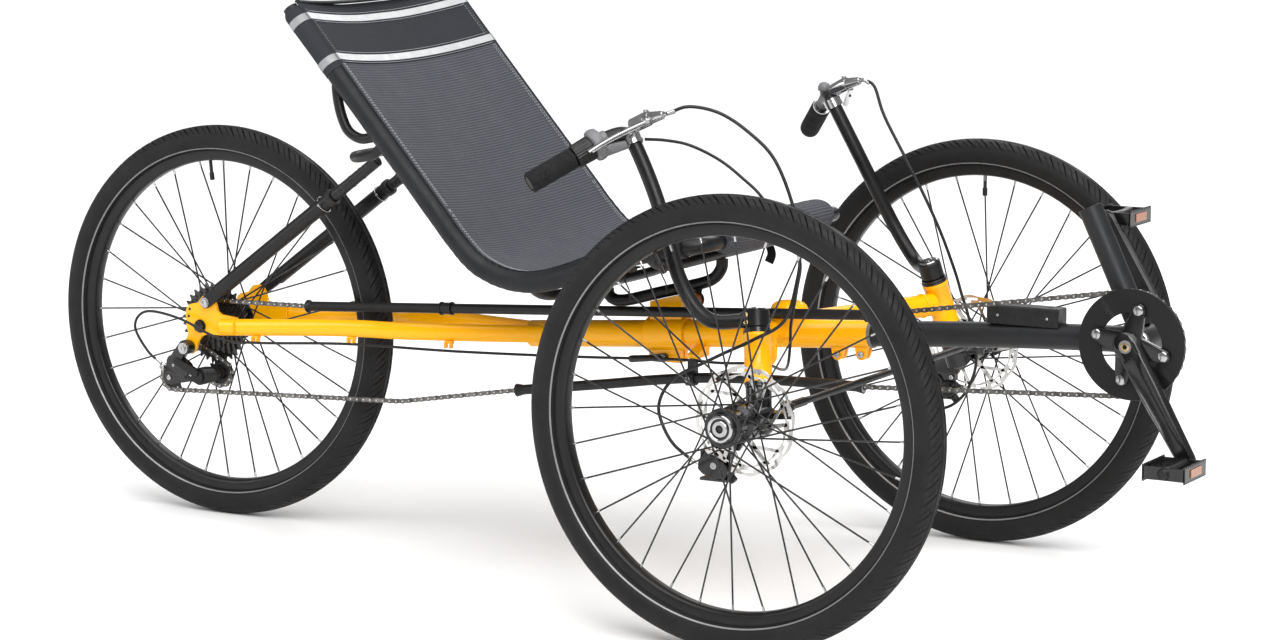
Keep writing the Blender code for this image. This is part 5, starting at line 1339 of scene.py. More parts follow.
def caliper(prefix, side):
    """A two-lobed casting over the rotor's edge, its pull arm, pad dial, hose elbow and bolts."""
    at = Vector((1.148, 0.3922 * side, 0.2620))
    body = f"{prefix}_steering"

    def spot(x, y, z):
        return at + Vector((x, y * side, z))

    casting = Shape()
    for x, z, radius in ((-0.0135, 0.0015, 0.0160), (0.0090, -0.0080, 0.0145)):
        casting.hull(disc(spot(x, -0.0195, z), radius - 0.0025, 0.0030 * side) + disc(spot(x, -0.0165, z),
                                                                                      radius,
                                                                                      0.0130 * side))
    casting.hull(disc(spot(-0.0135, -0.0150, 0.0015), 0.0120,
                      0.0110 * side) + disc(spot(0.0090, -0.0150, -0.0080), 0.0110, 0.0110 * side))
    casting.hull(block(spot(-0.0285, -0.0160, 0.0070), spot(0.0210, -0.0040, 0.0180)))
    casting.hull(block(spot(-0.0240, -0.0160, -0.0245), spot(0.0180, 0.0058, -0.0205)))
    casting.hull(disc(spot(-0.0120, 0.0022, -0.0020), 0.0150,
                      0.0036 * side) + disc(spot(0.0080, 0.0022, -0.0090), 0.0130, 0.0036 * side))
    casting.make(f"{prefix}_caliper_casting", "black_gloss", body, f"{prefix}_brake_caliper", at,
                 bevel=0.0014, angle=30)
    dial = Shape()
    teeth = []
    for k in range(48):
        reach = 0.0096 + 0.0007 * (k % 2)
        teeth.append((reach * math.cos(k * math.tau / 48), reach * math.sin(k * math.tau / 48)))
    low, high = sorted((-0.0230 * side, -0.0190 * side))
    dial.plate(teeth, low, high, at + Vector((0.0090, 0, -0.0080)))
    dial.hull(disc(spot(-0.0135, -0.0215, 0.0015), 0.0080,
                   0.003 * side) + disc(spot(-0.0360, -0.0215, -0.0120), 0.0045, 0.003 * side))
    dial.rod(spot(0.0170, -0.0120, -0.0190), spot(0.0235, -0.0120, -0.0255), 0.0062, 24, 0.0010)
    dial.make(f"{prefix}_caliper_arm", "plastic_black", body, (), at, bevel=0.0004, angle=30)
    bolts = Shape()
    for x, z in ((-0.0230, 0.0125), (0.0155, 0.0125)):
        bolts.bolt(spot(x, -0.0160, z), (0, -side, 0), 0.0040, 0.0032)
    bolts.bolt(spot(-0.0350, -0.0215, -0.0115), (0, -side, 0), 0.0036, 0.0030)
    bolts.bolt(spot(-0.0135, -0.0215, 0.0015), (0, -side, 0), 0.0050, 0.0020)
    bolts.bolt(spot(-0.002, 0.0058, -0.002), (0, side, 0), 0.0050, 0.0006)
    bolts.make(f"{prefix}_caliper_bolts", "steel_bright", body, (), at, angle=30)


def tie_rod():
    right, left = Vector((1.230, -0.330, 0.343)), Vector((1.230, 0.330, 0.343))
    rod = Shape().rod(right, left, 0.0053, 32)
    for way, end in ((1, right), (-1, left)):
        rod.rod(end + ACROSS * 0.012 * way, end + ACROSS * 0.055 * way, 0.0068, 6, 0.0004)
        rod.lathe([(-0.0048, 0.0045), (-0.0048, 0.0098), (-0.0030, 0.0108), (0.0030, 0.0108),
                   (0.0048, 0.0098), (0.0048, 0.0045)],
                  end, (0, 0, 1), 40)
    rod.make("tie_rod_bar", "black_powder", "tie_rod", "tie_rod", right, bevel=0.0004, angle=30)
    for prefix, side in SIDES:
        ball = Shape()
        end = Vector((1.230, 0.330 * side, 0.343))
        ball.lathe([(-0.0052, 0.0001), (-0.0052, 0.0042), (-0.003, 0.0058), (0, 0.0064), (0.003, 0.0058),
                    (0.0052, 0.0042), (0.0052, 0.0001)],
                   end, (0, 0, 1), 32)
        ball.bolt(end + Vector((0, 0, 0.0050)), (0, 0, 1), 0.0052, 0.0038)
        ball.rod(end - Vector((0, 0, 0.0092)), end - Vector((0, 0, 0.0050)), 0.0042, 24)
        ball.make(f"{prefix}_ball_joint", "steel_bright", f"{prefix}_steering", angle=30)


def bar_route():
    route = [(1.1500, 0.3050, 0.4580), (1.109, 0.349, 0.464), (1.067, 0.355, 0.519), (1.016, 0.332, 0.629)]
    route += [(0.974, 0.325, 0.708), (0.962, 0.332, 0.7215), BAR_BEND, BAR_BEND.lerp(BAR_END, 0.3), BAR_END]
    return [Vector(p) for p in route]


def bars():
    for prefix, side in SIDES:
        body = f"{prefix}_steering"
        bar = Shape().tube([mirrored(p, side) for p in bar_route()], 0.0109, 0.006, 40)
        low = on_kingpin(HEAD_HIGH + HEADSET_HEIGHT + 0.0006, side)
        high = on_kingpin(HEAD_HIGH + HEADSET_HEIGHT + 0.0260, side)
        bar.rod(low, high, 0.0184, 56, 0.0014)
        axis = (high - low).normalized()
        away = mirrored((-0.72, 0.62, 0), side).normalized()
        along = axis.cross(away)
        middle = low.lerp(high, 0.5)
        corners = []
        for a in (0.006, 0.0250):
            for b in (-0.0085, 0.0085):
                for c in (-0.0105, 0.0105):
                    corners.append(middle + away * a + along * b + axis * c)
        bar.hull(corners)
        bar.make(f"{prefix}_bar", "black_powder", body, f"{prefix}_handlebar", bevel=0.0008, angle=32)
        trim = Shape()
        trim.lathe([(0, 0.0001), (0, 0.0150), (0.0010, 0.0150), (0.0022, 0.0132), (0.0024, 0.0001)], high,
                   axis, 48)
        trim.bolt(high + axis * 0.0022, axis, 0.0060, 0.0022)
        trim.make(f"{prefix}_stem_cap", "alloy_polished", body, angle=30)
        pinch = Shape()
        for level in (-0.0055, 0.0055):
            pinch.bolt(middle + away * 0.0190 - along * 0.0086 + axis * level, -along, 0.0040, 0.0034)
            pinch.bolt(middle + away * 0.0190 + along * 0.0086 + axis * level, along, 0.0036, 0.0020)
        pinch.make(f"{prefix}_stem_bolts", "bolt_brass", body, angle=30)
        grips(prefix, side)
        lever(prefix, side)


def grips(prefix, side):
    body = f"{prefix}_steering"
    bend, end = mirrored(BAR_BEND, side), mirrored(BAR_END, side)
    axis = (end - bend).normalized()
    length = (end - bend).length
    first = 0.0580 if side < 0 else 0.0300
    profile = [(first, 0.0112), (first, 0.0150), (first + 0.0015, 0.0158)]
    ribs = 22
    for i in range(ribs * 2 + 1):
        along = first + 0.004 + (length - first - 0.006) * i / (ribs * 2)
        profile.append((along, 0.01575 + 0.0003 * (i % 2)))
    profile += [(length + 0.0030, 0.0156), (length + 0.0052, 0.0140), (length + 0.0058, 0.0118),
                (length + 0.0046, 0.0112)]
    profile += [(length + 0.0046, 0.0001), (length + 0.0030, 0.0001), (length + 0.0030, 0.0112)]
    Shape().lathe(profile, bend, axis, 56).make(f"{prefix}_foam_grip", "grip_foam", body,
                                                f"{prefix}_grip", angle=60)
    plug = Shape().rod(bend + axis * (length + 0.0040), bend + axis * (length + 0.0052), 0.0104, 40, 0.0006)
    plug.make(f"{prefix}_bar_plug", "plastic_black", body)
    if side > 0:
        ring = Shape().lathe([(0.0262, 0.0112), (0.0262, 0.0152), (0.0296, 0.0152), (0.0296, 0.0112)],
                             bend, axis, 48)
        ring.make("left_grip_ring", "alloy_polished", body, bevel=0.0004, angle=30)
        cap = Shape().rod(Vector((0.9451, 0.345, 0.7200)), Vector((0.9451, 0.345, 0.7330)), 0.0070, 32)
        dome = [(0, 0.0098), (0.0030, 0.0105), (0.0070, 0.0100), (0.0110, 0.0080), (0.0135, 0.0045),
                (0.0142, 0.0001)]
        cap.lathe(dome, (0.9451, 0.345, 0.7305), (0, 0, 1), 40)
        cap.make("left_bar_cap", "plastic_grey", body, angle=50)
        return
    shell = Shape()
    collar = [(0.0090, 0.0115), (0.0090, 0.0190), (0.0110, 0.0225), (0.0150, 0.0242), (0.0200, 0.0246),
              (0.0245, 0.0232)]
    collar += [(0.0262, 0.0200), (0.0262, 0.0115)]
    shell.lathe(collar, bend, axis, 56)
    shell.rod((0.9669, -0.325, 0.7034), (0.9800, -0.3205, 0.7101), 0.0055, 28, 0.0008)
    shell.hull(disc(bend + axis * 0.016 + Vector((0.010, 0.006, 0.012)), 0.0085, 0.010,
                    axis) + disc(bend + axis * 0.014, 0.0150, 0.010, axis))
    shell.hull(disc(bend + axis * 0.020 + Vector((0.012, 0.010, -0.008)), 0.0090, 0.008, -axis)
               + disc(Vector((0.984, -0.3185, 0.7124)), 0.0042, 0.004, (-1, -0.2, 0)))
    shell.make("shifter_housing", "plastic_grey", body, bevel=0.0010, angle=32)
    twist = Shape()
    rows = []
    spin, one, two = around(axis)
    for along, radius in ((0.0265, 0.0170), (0.0275, 0.0182), (0.0300, 0.0184), (0.0530, 0.0178),
                          (0.0558, 0.0170),
                          (0.0562, 0.0130), (0.0266, 0.0130)):
        ribbed = 0.0290 < along < 0.0540
        row = []
        for k in range(108):
            angle = k * math.tau / 108
            reach = radius - (0.0012 if ribbed and k % 4 in (0, 1) else 0.0)
            row.append(bend + spin * along + reach * (one * math.cos(angle) + two * math.sin(angle)))
        rows.append(row)
    twist.grid(rows, wrap_rows=True)
    twist.make("twist_sleeve", "cable_rubber", "twist_shifter", "twist_shifter", bend, angle=40)


def lever(prefix, side):
    """The clamp and housing on the bar's top bend, the barrel adjuster, and the blade."""
    body = f"{prefix}_steering"

    def spot(x, y, z):
        return mirrored((x, y, z), side)

    pivot = spot(0.992, 0.322, 0.7440)
    housing = Shape()
    ahead = (spot(1.026, 0.322, 0.7530) - spot(0.975, 0.325, 0.7395)).normalized()
    housing.hull(disc(spot(0.970, 0.326, 0.7330), 0.0105, 0.006, ahead) + disc(spot(0.992, 0.322, 0.7440),
                                                                               0.0110, 0.006, ahead))
    housing.hull(disc(spot(0.992, 0.322, 0.7440), 0.0095, 0.006, ahead) + disc(spot(1.014, 0.322, 0.7500),
                                                                               0.0062, 0.006, ahead))
    bar_axis = (bar_route()[4] - bar_route()[3]).normalized()
    bar_axis = mirrored(bar_axis, side)
    ring = [(-0.0075, 0.0111), (-0.0075, 0.0142), (0.0075, 0.0142), (0.0075, 0.0111)]
    housing.lathe(ring, spot(0.9710, 0.3258, 0.7130), bar_axis, 48)
    housing.make(f"{prefix}_lever_housing", "alloy_polished", body, f"{prefix}_lever_body", bevel=0.0012,
                 angle=32)
    barrel = Shape()
    tip = spot(1.0140, 0.322, 0.7502)
    profile = [(0, 0.0028), (0, 0.0052), (0.0010, 0.0058)]
    for k in range(7):
        profile.append((0.0015 + 0.0008 * k, 0.0056 + 0.0003 * (k % 2)))
    profile += [(0.0075, 0.0050), (0.0080, 0.0036), (0.0125, 0.0034), (0.0130, 0.0028)]
    barrel.lathe(profile, tip, ahead, 36)
    barrel.bolt(pivot + Vector((0, 0, 0.0105)), (0, 0, 1), 0.0042, 0.0030)
    barrel.bolt(spot(0.9600, 0.3290, 0.7090), (-1, 0, -0.3), 0.0030, 0.0025)
    barrel.make(f"{prefix}_barrel_adjuster", "steel_bright", body, angle=30)
    route = [(1.0000, 0.3385, 0.7425), (0.9862, 0.3586, 0.7336), (0.9720, 0.3817, 0.7230)]
    route += [(0.9602, 0.4000, 0.7129), (0.9493, 0.4153, 0.7025)]
    path = smooth_path([spot(*p) for p in route], 0.004)
    lower = Vector((-0.0016, 0, -0.0050))
    blade = Shape().sweep(path, oval(0.0052, 0.0026, 20))
    blade.sweep([p + lower for p in path[2:-2]], oval(0.0036, 0.0020, 16))
    blade.hull(disc(spot(0.9940, 0.3240, 0.7440), 0.0080, 0.0050,
                    (0, 0, 1)) + disc(spot(1.0010, 0.3375, 0.7405), 0.0058, 0.0045, (0, 0, 1)))
    blade.make(f"{prefix}_lever_blade", "alloy_polished", f"{prefix}_brake_lever",
               f"{prefix}_brake_lever", pivot, angle=50)
    # Black pieces in the blade: a core set back in the slot between its two bars, which is painted shade in
    # that slot, and a rod across the blade.
    gap = Shape().sweep([p + lower * 0.5 for p in path[3:-3]], oval(0.0030, 0.0016, 12))
    gap.rod(spot(0.9790, 0.3700, 0.7200), spot(0.9790, 0.3700, 0.7330), 0.0022, 16)
    gap.make(f"{prefix}_lever_slot_shade", "plastic_black", f"{prefix}_brake_lever", (), pivot, angle=50)


def cables():
    right_brake = [(1.0275, -0.322, 0.7535), (1.0554, -0.308, 0.7640), (1.0965, -0.290, 0.7549),
                   (1.1404, -0.280, 0.7272)]
    right_brake += [(1.1786, -0.275, 0.6897), (1.2082, -0.275, 0.6249), (1.2247, -0.285, 0.5634),
                    (1.2282, -0.300, 0.5206)]
    right_brake += [(1.2206, -0.325, 0.4654), (1.1804, -0.345, 0.4375), (1.1379, -0.352, 0.4162),
                    (1.1003, -0.352, 0.3970)]
    right_brake += [(1.0657, -0.352, 0.3794), (1.0425, -0.352, 0.3583), (1.0320, -0.354, 0.3326),
                    (1.0376, -0.358, 0.3101)]
    right_brake += [(1.0604, -0.364, 0.2795), (1.1002, -0.370, 0.2560)]
    left_brake = [(1.0275, 0.322, 0.7535), (1.0480, 0.318, 0.7440), (1.0694, 0.310, 0.6997),
                  (1.1094, 0.300, 0.6401)]
    left_brake += [(1.1445, 0.300, 0.5795), (1.1738, 0.305, 0.5182), (1.1963, 0.312, 0.4564),
                   (1.2040, 0.322, 0.4185)]
    left_brake += [(1.2090, 0.335, 0.3866), (1.2160, 0.352, 0.3268), (1.2090, 0.362, 0.2858),
                   (1.1856, 0.368, 0.2450)]
    left_brake += [(1.1500, 0.3700, 0.2230), (1.1050, 0.3700, 0.2290), (1.0850, 0.3700, 0.2480),
                   (1.1002, 0.3700, 0.2600)]
    for (prefix, side), points in zip(SIDES, (right_brake, left_brake)):
        route = [Vector(p) for p in points]
        housing = Shape().tube(route, 0.0025, 0.006, 16)
        housing.make(f"{prefix}_brake_housing", "cable_rubber", f"{prefix}_steering",
                     f"{prefix}_brake_cable", angle=60)
        ends = Shape()
        for tip, inward in ((route[0], route[1]), (route[-1], route[-2])):
            ends.rod(tip, tip + (inward - tip).normalized() * 0.012, 0.0032, 20)
        ends.rod(route[-1], mirrored((1.1130, 0.3708, 0.2510), side), 0.0008, 10, 0.0001)
        ends.make(f"{prefix}_cable_ferrules", "alloy_polished", f"{prefix}_steering", angle=35)
    shift_front = [(0.988, -0.318, 0.7141), (1.0168, -0.310, 0.7134), (1.0527, -0.300, 0.7071),
                   (1.0979, -0.292, 0.6870)]
    shift_front += [(1.1352, -0.285, 0.6593), (1.1604, -0.280, 0.6356), (1.1929, -0.262, 0.5813),
                    (1.2086, -0.252, 0.5422)]
    shift_front += [(1.2010, -0.247, 0.4996), (1.1925, -0.2455, 0.4560)]
    front = Shape().tube(shift_front, 0.00225, 0.006, 16)
    front = front.make("shift_housing_front", "cable_rubber", "right_steering", "shift_cable_front",
                       angle=60)
    front.parent = None
    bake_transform(front)
    shift_rear = [(1.1905, -0.2455, 0.4430), (1.1850, -0.236, 0.4140), (1.170, -0.215, 0.3800),
                  (1.110, -0.120, 0.3560)]
    shift_rear += [(1.040, -0.045, 0.3480)]
    shift_rear += [(0.960, -0.030, 0.3400), (0.880, -0.030, 0.3390), (0.700, -0.034, 0.3290),
                   (0.500, -0.068, 0.3260)]
    shift_rear += [(0.300, -0.083, 0.3240), (0.120, -0.0870, 0.3120), (0.050, -0.0895, 0.3140),
                   (-0.030, -0.0930, 0.3420)]
    shift_rear += [(-0.100, -0.090, 0.3480), (-0.128, -0.085, 0.3200), (-0.105, -0.082, 0.2800),
                   (-0.078, -0.0800, 0.2600)]
    rear = Shape().tube([shift_front[-1]] + shift_rear, 0.00225, 0.006, 16)
    rear.make("shift_housing_rear", "cable_rubber", "frame", "shift_cable_rear", angle=60)
    ferrules = Shape()
    tip = Vector(shift_rear[-1])
    ferrules.rod(tip, tip + (Vector(shift_rear[-2]) - tip).normalized() * 0.013, 0.0032, 20)
    ferrules.rod(tip, (-0.0700, -0.0865, 0.2560), 0.0007, 10, 0.0001)
    ferrules.make("shift_ferrules", "alloy_polished", "frame", angle=35)


# Seat --------------------------------------------------------------------------------------------


def seat_line(spacing=0.008):
    return smooth_path([(x, 0, z) for x, z in SEAT_PROFILE], spacing)


def seat_up(path, i):
    """The direction towards the rider, square to the seat's side view."""
    ahead = (path[min(i + 1, len(path) - 1)] - path[max(i - 1, 0)]).normalized()
    return ahead.cross(ACROSS)


def seat_tubes():
    path = seat_line(0.010)
    side = [p + ACROSS * SEAT_HALF for p in path]
    corner = [Vector(p) for p in ((1.026, 0.216, 0.549), (1.032, 0.190, 0.550), (1.032, 0.160, 0.550))]
    bend = smooth_path([side[-2], side[-1]] + corner, 0.006)[2:]
    half = side + bend + [Vector((1.032, 0, 0.550))]
    route = half + [mirrored(p, -1) for p in reversed(half[:-1])]
    metal = Shape().sweep(route, oval(0.0120, sides=32))
    for x, z in ((0.945, 0.535), (0.741, 0.4755)):
        bar = [(x, 0.2265, z - 0.010), (x, 0.205, z - 0.021), (x, 0.150, z - 0.0290), (x, 0, z - 0.0290)]
        metal.tube(bar + [(a, -b, c) for a, b, c in reversed(bar[:-1])], 0.0080, 0.012, 28)
    bow = [(0.468, 0.226, 0.6700), (0.455, 0.2250, 0.6560), (0.420, 0.2140, 0.6470), (0.392, 0.190, 0.6440)]
    bow += [(0.384, 0.150, 0.6440), (0.384, 0, 0.6440)]
    metal.tube(bow + [(x, -y, z) for x, y, z in reversed(bow[:-1])], 0.0080, 0.010, 28)
    for way in (1, -1):
        loop = [(0.456, 0.228, 0.6820), (0.430, 0.228, 0.6780), (0.408, 0.228, 0.688),
                (0.3965, 0.228, 0.707)]
        loop += [(0.389, 0.228, 0.732), (0.386, 0.228, 0.760), (0.392, 0.228, 0.775)]
        metal.tube([mirrored(p, way) for p in loop], 0.0080, 0.006, 28)
    metal.make("seat_tubes", "black_powder", "seat", "seat_frame", angle=50)
    support = [(0.945, 0, 0.4975), (0.943, 0, 0.482), (0.927, 0, 0.464), (0.888, 0, 0.451),
               (0.8345, 0, 0.437)]
    support += [(0.7805, 0, 0.422), (0.755, 0, 0.4195), (0.743, 0, 0.4265), (0.741, 0, 0.4370)]
    Shape().tube(support, 0.0095, 0.006, 32).make("seat_support", "black_powder", "seat",
                                                  "seat_support_tube", angle=50)


def sling_level(share):
    """The cloth's height above the side tubes' middle line, at a share of the half width."""
    return SLING_EDGE - SLING_SAG * (1 - abs(share) ** 2.5)


def sling_points(columns, quick):
    """The sling's middle surface: hung between the side tubes and let sag as cloth."""
    path = seat_line(0.010)
    points = []
    for i, here in enumerate(path):
        up = seat_up(path, i)
        for k in range(columns + 1):
            c = 2 * k / columns - 1
            points.append(here + ACROSS * SLING_HALF * c + up * sling_level(c))
    count = columns + 1
    faces = [(i * count + k, i * count + k + 1, (i + 1) * count + k + 1, (i + 1) * count + k)
             for i in range(len(path) - 1) for k in range(columns)]
    if not quick:
        held = [i for i in range(len(points)) if i % count in (0, columns) or i >= len(points) - count]
        points = settled(points, faces, held)
    return points, len(path), count


def settled(points, faces, held):
    """The same points after a short cloth simulation, none of them moved further than the cap."""
    mesh = bpy.data.meshes.new("cloth")
    mesh.from_pydata(points, [], faces)
    cloth = bpy.data.objects.new("cloth", mesh)
    bpy.context.scene.collection.objects.link(cloth)
    pins = cloth.vertex_groups.new(name="held")
    pins.add(held, 1.0, "REPLACE")
    modifier = cloth.modifiers.new("Cloth", "CLOTH")
    settings = modifier.settings
    settings.quality = 8
    settings.mass = 0.25
    settings.tension_stiffness = 40
    settings.compression_stiffness = 40
    settings.shear_stiffness = 20
    settings.bending_stiffness = 0.6
    settings.vertex_group_mass = "held"
    modifier.collision_settings.use_collision = False
    scene = bpy.context.scene
    for number in range(1, CLOTH_STEPS + 1):
        scene.frame_set(number)
    evaluated = cloth.evaluated_get(bpy.context.evaluated_depsgraph_get())
    after = [v.co.copy() for v in evaluated.to_mesh().vertices]
    evaluated.to_mesh_clear()
    scene.frame_set(1)
    bpy.data.objects.remove(cloth)
    bpy.data.meshes.remove(mesh)
    found = []
    for old, new in zip(points, after):
        shift = new - Vector(old)
        found.append(Vector(old) + shift * min(1.0, CLOTH_CAP / max(shift.length, 1e-9)))
    return found


def cloth_shell(points, rows, count, thickness, lift=0.0):
    """A grid of points given thickness along its own normals: (closed shape, UV in metres by point)."""
    def at(i, k):
        return points[min(max(i, 0), rows - 1) * count + min(max(k, 0), count - 1)]

    top, bottom, uv = [], [], []
    travelled = 0.0
    for i in range(rows):
        if i:
            travelled += (at(i, count // 2) - at(i - 1, count // 2)).length
        for k in range(count):
            normal = (at(i + 1, k) - at(i - 1, k)).cross(at(i, k + 1) - at(i, k - 1)).normalized()
            top.append(at(i, k) + normal * (lift + thickness / 2))
            bottom.append(at(i, k) + normal * (lift - thickness / 2))
            uv.append((at(i, k).y, travelled))
    size = rows * count
    faces = []
    for i in range(rows - 1):
        for k in range(count - 1):
            a = i * count + k
            faces += [(a, a + 1, a + count + 1, a + count),
                      (a + size, a + size + 1, a + size + count + 1, a + size + count)]
        for k in (0, count - 1):
            a = i * count + k
            faces.append((a, a + count, a + count + size, a + size))
    for row in (0, rows - 1):
        for k in range(count - 1):
            a = row * count + k
            faces.append((a, a + 1, a + 1 + size, a + size))
    return Shape().add(top + bottom, faces), uv + uv


def seat_cloth():
    columns = 44
    points, rows, count = sling_points(columns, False)
    shape, uv = cloth_shell(points, rows, count, 0.0022)
    sling = shape.make("seat_sling_mesh", "seat_mesh", "seat", "seat_sling", uv=uv, angle=80)
    middle = columns // 2

    def rows_between(start, end):
        inside = [i for i in range(rows) if start <= points[i * count].z <= end]
        return [points[i * count + k] for i in inside for k in range(count)], len(inside)

    panel_points, panel_rows = rows_between(0.793, 0.910)
    shape, uv = cloth_shell(panel_points, panel_rows, count, 0.0012, 0.0014)
    shape.make("seat_top_panel", "seat_panel", "seat", uv=uv, angle=80)
    path = seat_line(0.010)
    for name, level in (("lower", 0.803), ("upper", 0.864)):
        band, uv = level_band(points, rows, count, level, 0.0062)
        band.make(f"seat_stripe_{name}", "reflective_tape", "seat", uv=uv, angle=80)
        low = int(band_row(points, rows, count, level))
        middle = path[low].lerp(path[low + 1], band_row(points, rows, count, level) - low)
        along = (path[low + 1] - path[low]).normalized() * 0.0062
        wraps = Shape()
        for side in (1, -1):
            centre = middle + ACROSS * SEAT_HALF * side
            wraps.sweep([centre - along, centre, centre + along], oval(SLEEVE_RADIUS + 0.0016, sides=36))
        # The wraps take the darker copy of the tape: painted shade on the sleeves' sides.
        wraps.make(f"seat_stripe_{name}_wraps", "tape_shaded", "seat", angle=60)
    sleeves()
    stitches(points, rows, count)


def band_row(points, rows, count, level):
    """The row, with its fraction, where the sling's edge crosses a height."""
    edge = [points[i * count].z for i in range(rows)]
    return next(i + (edge[i] - level) / (edge[i] - edge[i + 1])
                for i in range(rows - 1) if edge[i] >= level > edge[i + 1])


def level_band(points, rows, count, level, half):
    """A narrow band across the sling at a height, cut between the grid's own rows."""
    def at(row, k):
        low = int(row)
        return points[low * count + k].lerp(points[min(low + 1, rows - 1) * count + k], row - low)

    middle = band_row(points, rows, count, level)
    step = (points[count] - points[0]).length
    band = [at(middle + share * half / step, k) for share in (-1, 0, 1) for k in range(count)]
    return cloth_shell(band, 3, count, 0.0008, 0.0026)


def sleeves():
    """Vinyl sleeves round the side tubes, wrinkled where the seat bends, with a hem along the top."""
    path = seat_line(0.004)
    for prefix, side in SIDES:
        line = [p + ACROSS * SEAT_HALF * side for p in path]
        bend = [max(0.0, 1 - abs(p.x - 0.66) / 0.10) for p in path]

        def swell(i):
            crease = math.sin(i * 1.9) * 0.022 + math.sin(i * 0.83 + 1.0) * 0.014
            rounded = math.sqrt(1 - ((4 - i) / 4.2) ** 2) if i < 4 else 1.0
            return rounded * (1.0 + 0.012 * math.sin(i * 0.21) + crease * bend[i])

        sleeve = Shape().sweep(line, oval(SLEEVE_RADIUS, sides=36), swell=swell)
        sleeve.make(f"{prefix}_seat_sleeve", "vinyl_dark", "seat", angle=70)
        cuff = [p for p in line if p.z > 0.778]
        cover = Shape().sweep(cuff, oval(SLEEVE_RADIUS + 0.0008, sides=36), swell=swell)
        cover.make(f"{prefix}_panel_cuff", "seat_panel", "seat", angle=70)
        piping = []
        for i, here in enumerate(path):
            up = seat_up(path, i)
            piping.append(here + ACROSS * (SEAT_HALF + 0.0010) * side
                          + up * (0.0166 + 0.0006 * math.sin(i * 1.7) * bend[i]))
        Shape().sweep(piping, oval(0.0014, sides=12)).make(f"{prefix}_seat_piping", "vinyl_dark", "seat",
                                                           angle=70)
    top = seat_line(0.004)
    up = seat_up(top, 0)
    hem = []
    for k in range(61):
        c = 2 * k / 60 - 1
        hem.append(top[0] + ACROSS * SLING_HALF * c + up * sling_level(c))
    Shape().sweep(hem, oval(0.0045, 0.0030, 16)).make("seat_top_hem", "vinyl_dark", "seat", angle=70)


def stitches(points, rows, count):
    """Two rows of stitches beside each sleeve, and one below the hem."""
    thread = Shape()
    path = seat_line(0.0026)
    for side in (1, -1):
        for inset in (0.0070, 0.0115):
            for i in range(6, len(path) - 6, 2):
                up = seat_up(path, i)
                level = sling_level((SEAT_HALF - inset) / SLING_HALF) + 0.0014
                start = path[i] + ACROSS * (SEAT_HALF - inset) * side + up * level
                thread.rod(start, start + (path[i + 1] - path[i]) * 1.25, 0.00062, 6, 0.0001)
    for level in (0.7955, 0.8105, 0.8565, 0.8715):
        band, _ = level_band(points, rows, count, level, 0.0004)
        line = band.points[count:2 * count]
        for k in range(1, count - 2):
            for share in (0.0, 0.33, 0.66):
                start = line[k].lerp(line[k + 1], share)
                end = line[k].lerp(line[k + 1], share + 0.22)
                thread.rod(start, end, 0.00055, 6, 0.0001)
    thread.make("seat_stitches", "thread", "seat", angle=60)


def seat_front():
    """The padded roll round the front tube, and the corner straps with their buckles."""
    rows = []
    steps = 96
    for i in range(steps + 1):
        share = 2 * i / steps - 1
        y = 0.1700 * share
        close = (1 - abs(share) ** 9) ** 0.5 if abs(share) < 1 else 0.0
        size = 0.62 + 0.38 * close
        puff = 1.0 + 0.014 * math.cos(share * math.pi * 5)
        row = []
        for k in range(48):
            angle = (k + 0.5) * math.tau / 48
            pinch = 1.0 - 0.05 * math.exp(-((math.sin(angle / 2 - 0.9)) / 0.08) ** 2)
            a = 0.0285 * math.cos(angle) * size * puff * pinch
            b = 0.0270 * math.sin(angle) * size * puff * pinch
            row.append(Vector((1.032 + a, y, 0.5545 + b)))
        rows.append(row)
    uv = [(row[0].y, 0.0265 * k * math.tau / 48) for row in rows for k in range(48)]
    roll = Shape().grid(rows)
    roll = roll.make("seat_nose_roll", "seat_mesh", "seat", "seat_nose_pad", uv=uv, angle=70)
    straps, buckles = Shape(), Shape()
    for side in (1, -1):
        for x, z in ((0.905, 0.5260), (0.968, 0.5400)):
            centre = Vector((x, SEAT_HALF * side, z))
            straps.lathe([(-0.0095, 0.0150), (-0.0095, 0.0166), (0.0095, 0.0166), (0.0095, 0.0150)],
                         centre, (1, 0, 0.24), 40)
            low = Vector((x - 0.008, (SEAT_HALF - 0.030) * side, z - 0.0205))
            high = Vector((x + 0.008, (SEAT_HALF - 0.008) * side, z - 0.0180))
            straps.hull(block(low, high))
            box_low = Vector((x - 0.0125, (SEAT_HALF - 0.012) * side, z - 0.0225))
            box_high = Vector((x + 0.0125, (SEAT_HALF + 0.006) * side, z - 0.0165))
            buckles.hull(block(box_low, box_high))
            for step in (-0.004, 0.002):
                ridge = Vector((x - 0.0105, (SEAT_HALF + step) * side, z - 0.0240))
                buckles.hull(block(ridge, ridge + Vector((0.021, 0.0016 * side, 0.003))))
            tail = [Vector((x - 0.004, (SEAT_HALF - 0.002) * side, z - 0.020)),
                    Vector((x - 0.001, (SEAT_HALF + 0.004) * side, z - 0.034))]
            tail += [Vector((x + 0.006, (SEAT_HALF + 0.002) * side, z - 0.050)),
                     Vector((x + 0.004, (SEAT_HALF - 0.004) * side, z - 0.064))]
            straps.sweep(smooth_path(tail, 0.004), oval(0.0008, 0.0085, 12))
    straps.make("seat_corner_straps", "webbing", "seat", bevel=0.0004, angle=40)
    buckles.make("seat_buckles", "plastic_black", "seat", bevel=0.0008, angle=35)


